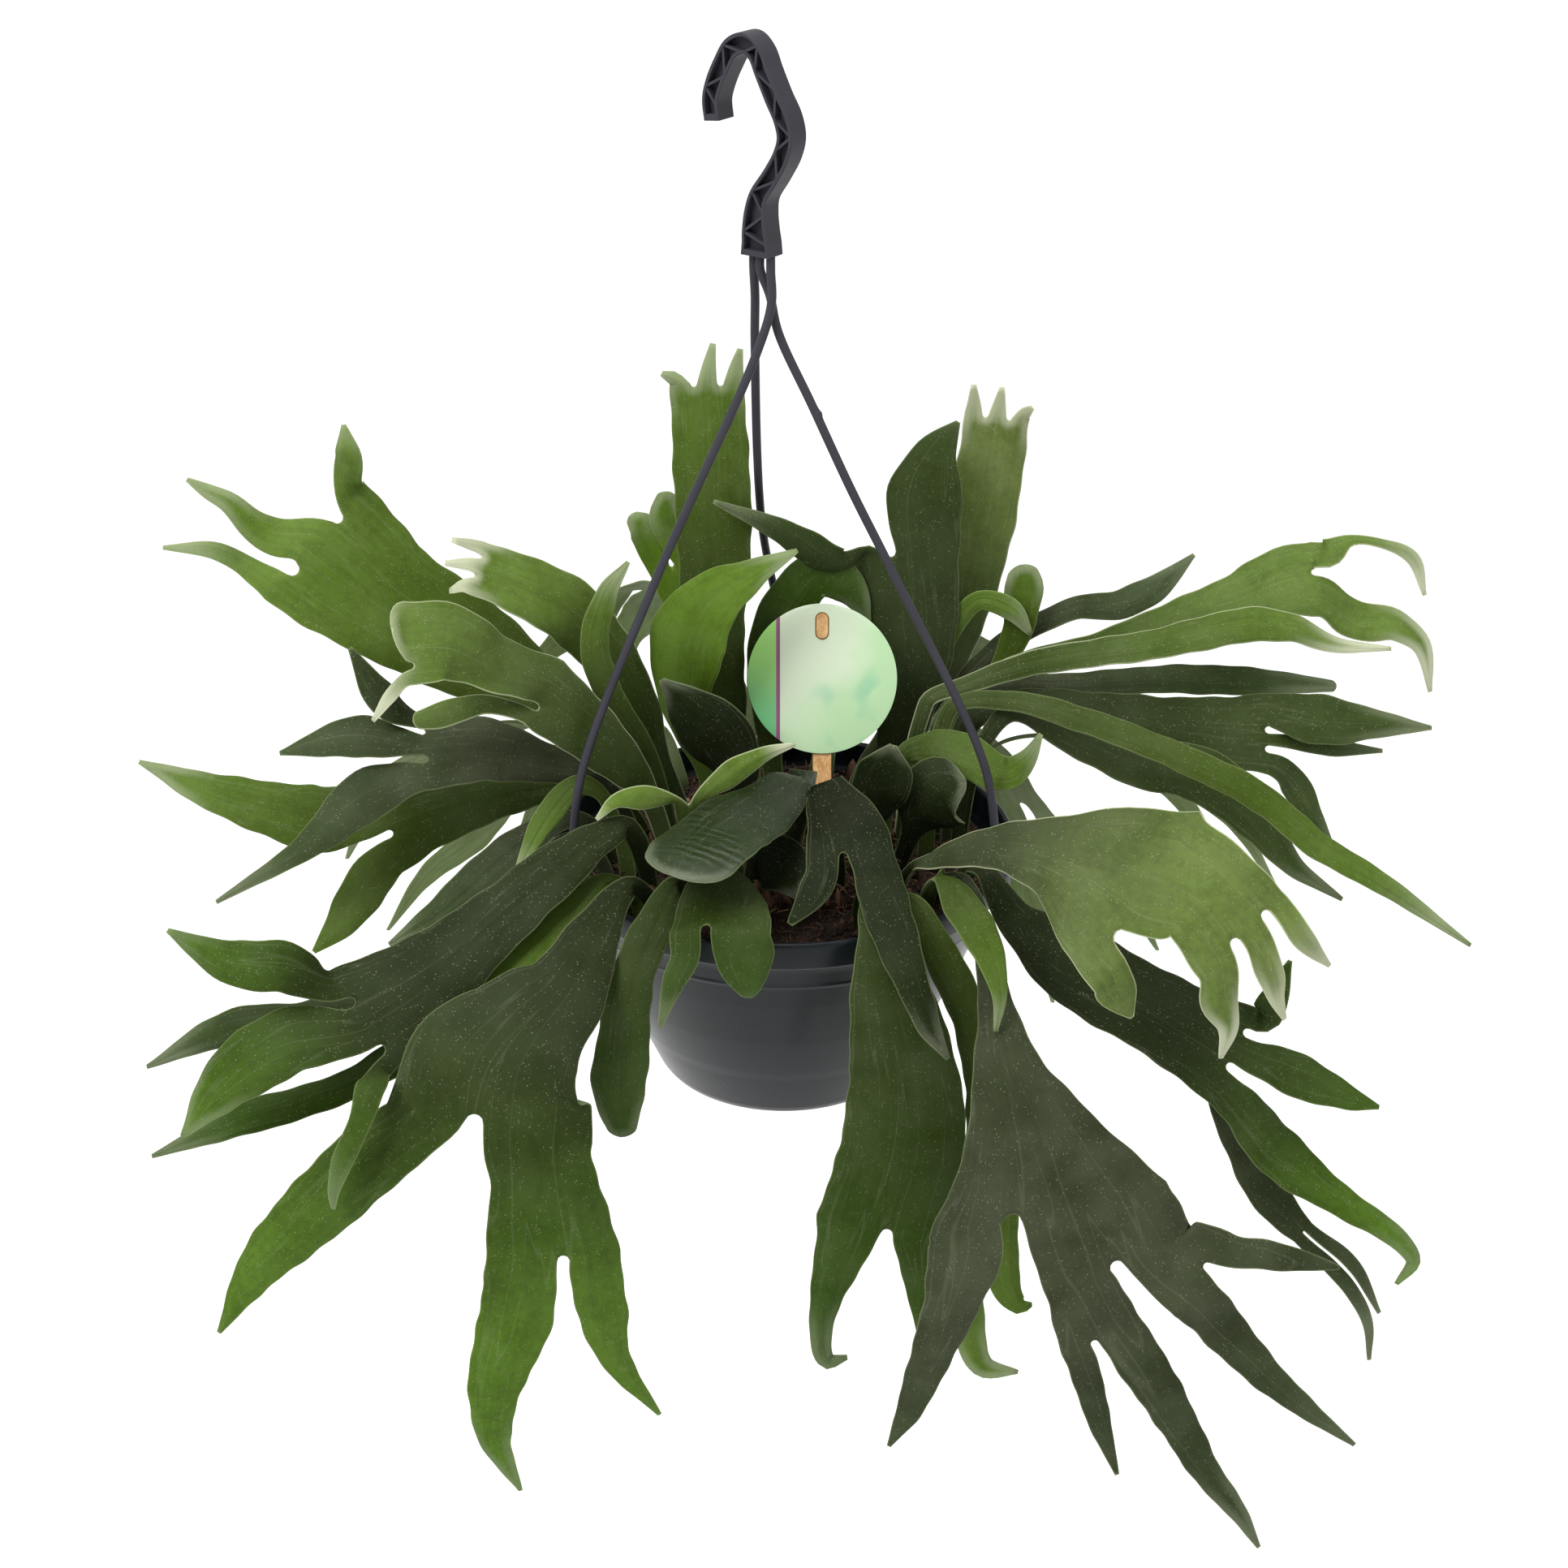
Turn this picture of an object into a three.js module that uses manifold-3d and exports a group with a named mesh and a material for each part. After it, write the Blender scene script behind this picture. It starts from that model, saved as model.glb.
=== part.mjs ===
// A staghorn fern growing in a moulded plastic hanging pot, with its hook, three straps and a plant label.
// Millimetres, +Z up. The origin is the centre of the pot's underside; -Y is the side the label faces.
import * as THREE from 'three';
import { mergeVertices } from 'three/addons/utils/BufferGeometryUtils.js';
import Module from 'manifold-3d';

const wasm = await Module();
wasm.setup();

// Driving dimensions.
const CLEARANCE = 0.35;
const RIM_RADIUS = 89;
const RIM_HEIGHT = 97;
const WALL = 1.8;
const SOIL_LEVEL = 87;
const HOOK_FOOT = new THREE.Vector3(-7, 0, 322);
const HOOK_TURN = THREE.MathUtils.degToRad(-35);
const HOOK_DEPTH = 9;
const STRAP_RADIUS = 1.6;
const LABEL_RADIUS = 28.5;
const LABEL_LEAN = THREE.MathUtils.degToRad(-24);
const BLADE_THICKNESS = 1.1;
const STIPE_THICKNESS = 2.4;
const STIPE_HALF_WIDTH = 3.2;
const STIPE_DEPTH = 12;
const STIPE_RISE = 4;
const STIPE_EASE = 40;
const ROW_STEP = 19;
const SINUS_SHARE = 0.09;

const finishes = {
  plastic: new THREE.MeshStandardMaterial({ color: 0x23292b, roughness: 0.38, metalness: 0 }),
  soil: new THREE.MeshStandardMaterial({ color: 0x33221a, roughness: 0.95, metalness: 0 }),
  card: new THREE.MeshStandardMaterial({ color: 0xdbe8c4, roughness: 0.45, metalness: 0 }),
  wood: new THREE.MeshStandardMaterial({ color: 0xc79a63, roughness: 0.7, metalness: 0 }),
  leaf: new THREE.MeshStandardMaterial({ color: 0x3c5a2a, roughness: 0.55, metalness: 0 }),
};

const part = new THREE.Group();

/** Adds a named mesh to the part. */
function place(name, geometry, material) {
  const mesh = new THREE.Mesh(geometry, material);
  mesh.name = name;
  part.add(mesh);
  return mesh;
}

/** A closed geometry as a solid that can be joined and cut. */
function solid(geometry) {
  const bare = geometry.clone();
  bare.deleteAttribute('normal');
  bare.deleteAttribute('uv');
  const merged = mergeVertices(bare, 1e-4);
  return new wasm.Manifold(new wasm.Mesh({
    numProp: 3,
    vertProperties: new Float32Array(merged.attributes.position.array),
    triVerts: new Uint32Array(merged.index.array),
  }));
}

/** A solid as a geometry again. */
function geometryOf(body) {
  const mesh = body.getMesh();
  const geometry = new THREE.BufferGeometry();
  geometry.setAttribute('position', new THREE.BufferAttribute(mesh.vertProperties, 3));
  geometry.setIndex(new THREE.BufferAttribute(mesh.triVerts, 1));
  geometry.computeVertexNormals();
  return geometry;
}

/** A lathe about +Z from a profile of [radius, height] pairs that starts and ends on the axis. */
function lathe(profile, segments) {
  const points = profile.map(([radius, height]) => new THREE.Vector2(radius, height));
  return new THREE.LatheGeometry(points, segments).rotateX(Math.PI / 2);
}

/** A round rod along a curve, with closed ends. */
function rod(curve, radius, steps, sides) {
  const section = new THREE.Shape();
  section.absarc(0, 0, radius, 0, 2 * Math.PI);
  return new THREE.ExtrudeGeometry(section, { steps, extrudePath: curve, curveSegments: sides / 2 });
}

// Pot.
const POT_SEGMENTS = 36;
const COLLAR_HEIGHT = 11;
const COLLAR_INSIDE = 4.4;
const DRAIN_RADIUS = 4;
const DRAIN_CIRCLE = 28;
const DRAINS = 5;
const POT_OUTSIDE = [
  [45, 0], [48.5, 1.2], [50.5, 4], [58, 21], [60, 25], [68, 43], [76.5, 64], [82.5, 80],
];

/** The pot: a lathed shell with a deeper collar at its rim and drain holes in its floor. */
function potGeometry() {
  const collarFoot = RIM_HEIGHT - COLLAR_HEIGHT;
  const inside = POT_OUTSIDE.slice(1).reverse().map(([radius, height]) => [radius - WALL, height + WALL]);
  const shell = solid(lathe([
    [0, 0],
    ...POT_OUTSIDE,
    [84.5, collarFoot - 0.6],
    [RIM_RADIUS - 1.6, collarFoot],
    [RIM_RADIUS - 0.4, RIM_HEIGHT - 1],
    [RIM_RADIUS - 1.2, RIM_HEIGHT],
    [RIM_RADIUS - 2.6, RIM_HEIGHT],
    [RIM_RADIUS - 3.4, RIM_HEIGHT - 1],
    [RIM_RADIUS - COLLAR_INSIDE, collarFoot + 1],
    ...inside,
    [0, POT_OUTSIDE[1][1] + WALL],
  ], POT_SEGMENTS));
  let pot = shell;
  for (let i = 0; i < DRAINS; i += 1) {
    const angle = 2 * Math.PI * i / DRAINS;
    const hole = new THREE.CylinderGeometry(DRAIN_RADIUS, DRAIN_RADIUS, 20, 12).rotateX(Math.PI / 2);
    hole.translate(DRAIN_CIRCLE * Math.cos(angle), DRAIN_CIRCLE * Math.sin(angle), 0);
    pot = pot.subtract(solid(hole));
  }
  return geometryOf(pot);
}

// Soil, whose top rises and falls a little and fits inside the pot.
const SOIL_SEGMENTS = 30;
const SOIL_RINGS = [0, 26, 50, 70];

/** The soil's uneven level. */
function soilHeight(x, y) {
  return SOIL_LEVEL + 0.7 * Math.sin(x / 9 + 1) * Math.cos(y / 11) + 0.5 * Math.sin(x / 5 - y / 6);
}

/** The body of soil, clear of the pot's inside. */
function soilGeometry() {
  const wall = POT_OUTSIDE.slice(1).map(([radius, height]) => [radius - WALL - 0.5, height + WALL]);
  const edge = RIM_RADIUS - COLLAR_INSIDE - 1.5;
  const profile = [
    [0, POT_OUTSIDE[1][1] + WALL + 0.4],
    [wall[0][0] - 0.6, POT_OUTSIDE[1][1] + WALL + 0.4],
    ...wall.slice(1, -1),
    [wall.at(-1)[0] - 0.8, SOIL_LEVEL - 7],
    [edge - 2.5, SOIL_LEVEL],
    ...SOIL_RINGS.slice().reverse().map((radius) => [radius, SOIL_LEVEL]),
  ];
  const geometry = lathe(profile, SOIL_SEGMENTS);
  const position = geometry.attributes.position;
  for (let i = 0; i < position.count; i += 1) {
    if (position.getZ(i) > SOIL_LEVEL - 1) position.setZ(i, soilHeight(position.getX(i), position.getY(i)));
  }
  return geometry;
}

// Hook: a channel section with zigzag ribs on both sides, swept along a question mark.
const HOOK_LINE = [
  [-0.9, 0, 6], [-0.9, 4, 5.6], [-1.2, 8, 5.2], [-1, 14.7, 4.4], [0.4, 20.6, 3.7], [5.6, 28.2, 3.4],
  [10, 35.6, 3.3], [11.6, 41.6, 3.2], [10.2, 47.8, 3.2], [6.4, 54.6, 3.1], [2.3, 62.7, 3.1],
  [-0.6, 68.6, 3.2],
  [-4.8, 71.6, 3.5], [-10.2, 69.8, 3.5], [-14.6, 63.4, 3.5], [-18, 56.4, 3.5], [-19.4, 51, 3.4],
  [-18.7, 44.4, 3.3],
];
const hookCurve = new THREE.CatmullRomCurve3(HOOK_LINE.map(([x, z, half]) => new THREE.Vector3(x, z, half)));
const HOOK_STEPS = 24;
const HOOK_BORDER = 1.3;
const HOOK_WEB = 2.4;
const HOOK_RIBS = 15;
const HOOK_RIB_HALF = 0.45;
const RIBBED_FROM = 0.06;
const RIBBED_SHARE = 0.9;

/** A point of the hook's middle line at t from 0 to 1, with its sideways direction and half width. */
function hookAt(t) {
  const here = hookCurve.getPoint(t);
  const ahead = hookCurve.getTangent(t);
  const side = new THREE.Vector2(-ahead.y, ahead.x).normalize();
  return { middle: new THREE.Vector2(here.x, here.y), side, half: here.z };
}

/** The outline of the hook between two places on its line, drawn in from its edges by inset. */
function hookOutline(from, to, inset) {
  const left = [];
  const right = [];
  for (let i = 0; i <= HOOK_STEPS; i += 1) {
    const { middle, side, half } = hookAt(from + (to - from) * i / HOOK_STEPS);
    left.push(middle.clone().addScaledVector(side, half - inset));
    right.push(middle.clone().addScaledVector(side, inset - half));
  }
  return new THREE.Shape([...right, ...left.reverse()]);
}

/** A flat shape given depth from low to high. */
function slab(shape, low, high) {
  const geometry = new THREE.ExtrudeGeometry(shape, { depth: high - low, bevelEnabled: false });
  return solid(geometry.translate(0, 0, low));
}

function hookGeometry() {
  const deep = HOOK_DEPTH / 2;
  const web = HOOK_WEB / 2;
  let body = slab(hookOutline(0, 1, 0), -deep, deep);
  for (const [low, high] of [[web, deep + 1], [-deep - 1, -web]]) {
    let pocket = slab(hookOutline(0.03, 0.98, HOOK_BORDER), low, high);
    for (let i = 0; i < HOOK_RIBS; i += 1) {
      const start = hookAt(RIBBED_FROM + RIBBED_SHARE * i / HOOK_RIBS);
      const end = hookAt(RIBBED_FROM + RIBBED_SHARE * (i + 1) / HOOK_RIBS);
      const way = i % 2 ? 1 : -1;
      const a = start.middle.clone().addScaledVector(start.side, way * start.half);
      const b = end.middle.clone().addScaledVector(end.side, -way * end.half);
      const across = b.clone().sub(a).rotateAround(new THREE.Vector2(), Math.PI / 2).setLength(HOOK_RIB_HALF);
      const rib = new THREE.Shape([
        a.clone().sub(across), b.clone().sub(across), b.clone().add(across), a.clone().add(across),
      ]);
      pocket = pocket.subtract(slab(rib, low, high));
    }
    body = body.subtract(pocket);
  }
  return geometryOf(body).rotateX(Math.PI / 2).rotateZ(HOOK_TURN).translate(...HOOK_FOOT);
}

// Straps: a round rod from under the hook to the rim, ending in a clip that sits over the rim.
const CLIP_WIDTH = 9;
const CLIP_WALL = 1.6;
const CLIP_DROP = 8;
const CLIP_TOP = RIM_HEIGHT + CLEARANCE + CLIP_WALL;
const CLIP_INSIDE_GAP = 0.6;
const CLIP_INSIDE_DROP = 0.7 * CLIP_DROP;
// The strap's last stretch as [distance in from the rim, height above the rim].
const STRAP_END = [[9, 45], [3.4, 16]];
// A strap's bow is points [across, deep, drop from the hook's foot].
const STRAPS = {
  strap_left: {
    angle: -156, start: [-4.6, -3],
    bow: [[-4.4, -4.4, -16], [-10, -7.2, -34], [-46, -19, -113]],
  },
  strap_right: {
    angle: -24, start: [-8.3, 0.4],
    bow: [[-5, 0.2, -14], [-2, -1.5, -27], [10, -7, -52], [24, -14, -81], [39, -20, -110]],
  },
  strap_back: {
    angle: 90, start: [-10.6, 3.6],
    bow: [[-10.2, 6.5, -16], [-10.4, 12, -34], [-8.6, 43, -113]],
  },
};

/** A strap from its place under the hook, through its bow, to a clip on the rim at its angle. */
function strapGeometry({ angle, start, bow }) {
  const turn = THREE.MathUtils.degToRad(angle);
  const out = new THREE.Vector3(Math.cos(turn), Math.sin(turn), 0);
  const foot = out.clone().multiplyScalar(RIM_RADIUS - 2.4).setZ(CLIP_TOP - 0.8);
  const under = HOOK_FOOT.z - CLEARANCE;
  const line = new THREE.CatmullRomCurve3([
    new THREE.Vector3(start[0], start[1], under),
    new THREE.Vector3(start[0], start[1], under - 5),
    ...bow.map(([x, y, drop]) => new THREE.Vector3(x, y, under + drop)),
    ...STRAP_END.map(([inset, rise]) => {
      return out.clone().multiplyScalar(RIM_RADIUS - inset).setZ(RIM_HEIGHT + rise);
    }),
    foot,
  ]);
  const inner = RIM_RADIUS - COLLAR_INSIDE - CLIP_INSIDE_GAP - CLIP_WALL;
  const outer = RIM_RADIUS + CLEARANCE + CLIP_WALL;
  const clip = new THREE.Shape([
    new THREE.Vector2(inner, CLIP_TOP - CLIP_INSIDE_DROP),
    new THREE.Vector2(inner + CLIP_WALL, CLIP_TOP - CLIP_INSIDE_DROP),
    new THREE.Vector2(inner + CLIP_WALL, RIM_HEIGHT + CLEARANCE),
    new THREE.Vector2(outer - CLIP_WALL, RIM_HEIGHT + CLEARANCE),
    new THREE.Vector2(outer - CLIP_WALL, CLIP_TOP - CLIP_DROP),
    new THREE.Vector2(outer, CLIP_TOP - CLIP_DROP),
    new THREE.Vector2(outer, CLIP_TOP - 1),
    new THREE.Vector2(outer - 1, CLIP_TOP),
    new THREE.Vector2(inner + 1, CLIP_TOP),
    new THREE.Vector2(inner, CLIP_TOP - 1),
  ]);
  const clipBody = new THREE.ExtrudeGeometry(clip, { depth: CLIP_WIDTH, bevelEnabled: false });
  clipBody.translate(0, 0, -CLIP_WIDTH / 2).rotateX(Math.PI / 2).rotateZ(turn);
  return geometryOf(solid(rod(line, STRAP_RADIUS, 24, 8)).add(solid(clipBody)));
}

// Label: a round card held by the raised tongue of a flat wooden stick.
const STICK_FOOT = new THREE.Vector3(14.5, -12, SOIL_LEVEL);
const STICK_HALF_WIDTH = 3.5;
const STICK_THICKNESS = 1.8;
const STICK_LENGTH = 100;
const STICK_BURIED = 22;
const LABEL_UP = 73;
const CARD_THICKNESS = 0.8;
const TONGUE_UP = LABEL_UP + 20;
const TONGUE_RADIUS = 2.3;
const TONGUE_HALF_RISE = 2.6;
const TONGUE_PROUD = 0.6;

/** The tongue's outline, grown by a gap. */
function tongueShape(gap) {
  const shape = new THREE.Shape();
  shape.absarc(0, TONGUE_UP + TONGUE_HALF_RISE, TONGUE_RADIUS + gap, 0, Math.PI);
  shape.absarc(0, TONGUE_UP - TONGUE_HALF_RISE, TONGUE_RADIUS + gap, Math.PI, 2 * Math.PI);
  return shape;
}

/** Stands a shape drawn in the card's plane up in its place, lying back by the label's lean. */
function standLabel(geometry) {
  return geometry.rotateX(Math.PI / 2).rotateX(LABEL_LEAN).translate(...STICK_FOOT);
}

/** The flat stick with the raised tongue that holds the card. */
function stickBody() {
  const shape = new THREE.Shape();
  shape.moveTo(-STICK_HALF_WIDTH, -STICK_BURIED);
  shape.lineTo(STICK_HALF_WIDTH, -STICK_BURIED);
  shape.absarc(0, STICK_LENGTH - STICK_HALF_WIDTH, STICK_HALF_WIDTH, 0, Math.PI);
  const cut = { depth: STICK_THICKNESS, bevelEnabled: false, curveSegments: 8 };
  const bar = new THREE.ExtrudeGeometry(shape, cut);
  const depth = STICK_THICKNESS / 2 + CLEARANCE + CARD_THICKNESS + TONGUE_PROUD;
  const tongue = new THREE.ExtrudeGeometry(tongueShape(0), { depth, bevelEnabled: false, curveSegments: 6 });
  tongue.translate(0, 0, STICK_THICKNESS / 2);
  return solid(bar).add(solid(tongue));
}

/** The round card with the slot that the tongue comes through. */
function discGeometry() {
  const shape = new THREE.Shape();
  shape.absarc(0, LABEL_UP, LABEL_RADIUS, 0, 2 * Math.PI);
  shape.holes.push(new THREE.Path(tongueShape(CLEARANCE).getPoints(6).reverse()));
  const cut = { depth: CARD_THICKNESS, bevelEnabled: false, curveSegments: 40 };
  const disc = new THREE.ExtrudeGeometry(shape, cut);
  return standLabel(disc.translate(0, 0, STICK_THICKNESS + CLEARANCE));
}

/** The plain hole that the stick stands in. */
function stickHole() {
  const width = 2 * (STICK_HALF_WIDTH + CLEARANCE);
  const deep = STICK_THICKNESS + 2 * CLEARANCE;
  const hole = new THREE.BoxGeometry(width, 2 * STICK_BURIED, deep);
  hole.translate(0, -CLEARANCE, STICK_THICKNESS / 2);
  return solid(standLabel(hole));
}

// Fronds. Each stands in the soil at its foot and runs through stations [across, deep, up, half width].
// Its last row is shared out to its lobes from left to right, seen from the side that it faces.
const TO_VIEWER = [0, -0.75, 0.66];
const UPRIGHT = [0, -0.95, 0.3];
const HANGING = [0, -0.9, 0.42];
const TO_BACK = [0, 0.8, 0.6];

const FRONDS = {
  tall_left: {
    foot: [-18, 22], face: UPRIGHT,
    run: [[-19, 24, 108, 3.8], [-21, 24, 136, 6.4], [-26, 24, 170, 11], [-26.3, 26, 212, 14.2],
      [-28.3, 32, 266, 13.6]],
    lobes: [
      { run: [[-45, 34, 269, 1]] },
      { run: [[-26, 35, 280, 1]] },
      { run: [[-16, 35, 278, 1]] },
    ],
  },
  small_left_back: {
    foot: [-30, 44], face: UPRIGHT,
    run: [[-34, 52, 130, 3.9], [-38, 58, 163, 7], [-44, 60, 184, 10]],
    lobes: [
      { run: [[-54, 60, 198, 6.4], [-60, 60, 204, 2.4]] },
      { run: [[-46, 60, 203, 6.4], [-45, 60, 214, 3.4]] },
    ],
  },
  tall_right_pale: {
    foot: [28, 46], face: UPRIGHT,
    run: [[34, 49, 104, 3.9], [52, 52, 126, 8], [67.5, 60, 158, 11], [77, 68, 196, 13],
      [82.5, 74, 240, 12.8]],
    lobes: [
      { run: [[73, 75, 252, 1]] },
      { run: [[84, 75, 251, 1]] },
      { run: [[96, 75, 243, 1]] },
    ],
  },
  twin_right_dark: {
    foot: [38, 26], face: UPRIGHT,
    run: [[41, 29, 104, 4.6], [46, 34, 125, 10], [49, 40, 157, 17.5], [46.5, 46, 195, 21]],
    lobes: [
      { run: [[20, 38, 194, 8], [-2, 26, 211, 4.4], [-26, 18, 225, 0.8]] },
      { run: [[54, 49, 216, 14.5], [58, 52, 232, 8.6], [66, 54, 244, 0.9]] },
    ],
  },
  bright_curled: {
    foot: [-27, 8], face: [-0.3, -0.85, 0.4],
    run: [[-30, 6, 120, 3.8], [-38, 3, 147, 9], [-37, 0, 174, 16], [-28, -2, 192, 12], [-14, 0, 202, 6.6],
      [5, 4, 211, 0.8]],
  },
  narrow_left: {
    foot: [-44, 3], face: UPRIGHT,
    run: [[-51, -2, 131, 3.2], [-64, -6, 156, 5], [-70, -7, 177, 5.4], [-65, -4, 197, 4],
      [-57, 0, 208, 0.8]],
  },
  arc_behind_label: {
    foot: [-2, 10], face: UPRIGHT,
    run: [[-5, 21, 122, 4.4], [-6, 29, 146, 8], [-3, 36, 167, 9.4], [12, 40, 187, 9], [25, 41, 182, 7],
      [33, 41, 166, 0.9]],
  },
  dark_centre: {
    foot: [-15, -5], face: [-0.4, -0.85, 0.3],
    run: [[-17, -6, 114, 5], [-21, -11, 134, 12.5], [-30, -14, 150, 13], [-45, -16, 168, 1.2]],
  },
  two_lobed_behind: {
    foot: [-34, -21], face: UPRIGHT,
    run: [[-35, -27, 110, 3.6], [-35, -35, 127, 6]],
    lobes: [
      { run: [[-50, -41, 132, 4.7], [-61, -46, 133, 2.6], [-68, -49, 127, 0.8]] },
      { run: [[-21, -34, 137, 5], [-8, -30, 144, 3], [4, -27, 147, 0.8]] },
    ],
  },
  glossy_wide: {
    foot: [2, -17], face: [-0.35, -0.7, 0.62],
    run: [[6, -26, 132, 6.6], [-6, -45, 132, 13], [-21, -65, 132, 17.4], [-32, -85, 132, 17.3],
      [-39, -98, 130, 11.8]],
  },
  front_two_prong: {
    foot: [-17, -47], face: HANGING,
    run: [[-19, -58, 112, 4.7], [-21, -76, 112, 14.5], [-22, -97, 108, 17.6]],
    lobes: [
      { run: [[-14, -100, 99, 10.8], [-13, -101, 91, 7.7], [-12, -101, 83, 2.3]] },
      { run: [[-35, -100, 98, 5.4], [-39, -101, 89, 4], [-44, -101, 71, 0.8]] },
    ],
  },
  centre_claw: {
    foot: [20, -29], face: TO_VIEWER,
    run: [[15, -36, 135, 5.9], [18, -44, 132, 10.6], [22, -55, 127, 14.4], [24, -66, 121, 16]],
    lobes: [
      { run: [[37, -90, 109, 8.6], [44, -107, 95, 6.2], [51, -109, 76, 4.3], [58, -108, 62, 0.8]] },
      { run: [[11, -78, 114, 5.8], [2, -84, 103, 1.2]] },
    ],
  },
  front_hanging: {
    foot: [28, -55], face: HANGING,
    run: [[33, -68, 108, 6.4], [35, -88, 104, 9], [38, -99, 81, 15], [43, -102, 50, 19.7],
      [43, -104, 20, 23],
      [36, -105, -14, 24.4]],
    lobes: [
      { run: [[51, -105, -37, 6.6], [51, -104, -61, 1.2]] },
      { run: [[18, -105, -34, 7.8], [14, -104, -57, 4.6], [16, -103, -75, 3.2], [24, -102, -74, 0.9]] },
    ],
  },
  front_right_big: {
    foot: [56, -40], face: HANGING,
    run: [[64, -64, 109, 4], [70, -80, 101, 4.2], [74, -98, 84, 5.6], [78, -118, 65, 12.4],
      [86, -130, 41, 25.5], [93, -136, 16, 42.8]],
    lobes: [
      {
        run: [[119, -140, -3, 28.7]],
        lobes: [
          {
            run: [[148, -141, -7, 17.8]],
            lobes: [
              { run: [[171, -139, 0, 5.4], [185, -137, -4, 3.5], [198, -134, -9, 0.8]] },
              {
                run: [[158, -140, -32, 8.4], [173, -139, -51, 6.2], [189, -137, -68, 4.2],
                  [211, -134, -89, 0.8]],
              },
            ],
          },
          {
            run: [[114, -142, -34, 15.7]],
            lobes: [
              {
                run: [[132, -142, -51, 8.5], [142, -140, -70, 7.4], [157, -137, -100, 5.4],
                  [170, -135, -120, 3.6], [180, -132, -140, 0.8]],
              },
              { run: [[110, -142, -54, 5.3], [115, -139, -73, 4.4], [124, -134, -103, 0.8]] },
            ],
          },
        ],
      },
      {
        run: [[64, -139, 1, 13.8], [59, -139, -24, 10.1], [52, -136, -51, 7.1], [46, -133, -74, 4.8],
          [39, -130, -93, 0.8]],
      },
    ],
  },
  hidden_right_of_pot: {
    foot: [40, -54], face: HANGING,
    run: [[46, -72, 105, 4.1], [55, -85, 93, 6.5], [67, -91, 68, 6.8], [75, -92, 30, 8.6],
      [76, -93, -16, 11]],
    lobes: [
      { run: [[83, -93, -45, 6], [89, -93, -57, 3.4], [94, -92, -57, 0.8]] },
      { run: [[70, -93, -61, 6], [76, -92, -86, 4.6], [90, -92, -89, 0.8]] },
    ],
  },
  tongue_right: {
    foot: [52, -50], face: [0.3, -0.85, 0.4],
    run: [[56, -68, 114, 3], [64, -90, 112, 7.4], [72, -106, 102, 5.6], [75, -111, 89, 2.8],
      [74, -112, 76, 0.8]],
  },
  pale_right_claws: {
    foot: [42, -38], face: [0, -0.6, 0.8], tipFace: [0.1, -0.9, 0.42],
    run: [[47, -48, 107, 3], [54, -62, 118, 4.4], [73, -78, 131, 8], [91, -91, 135, 14.1],
      [106, -103, 134, 26.2], [123, -114, 129, 35.9]],
    lobes: [
      {
        run: [[142, -121, 136, 19.1], [155, -126, 122, 20.8]],
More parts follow.
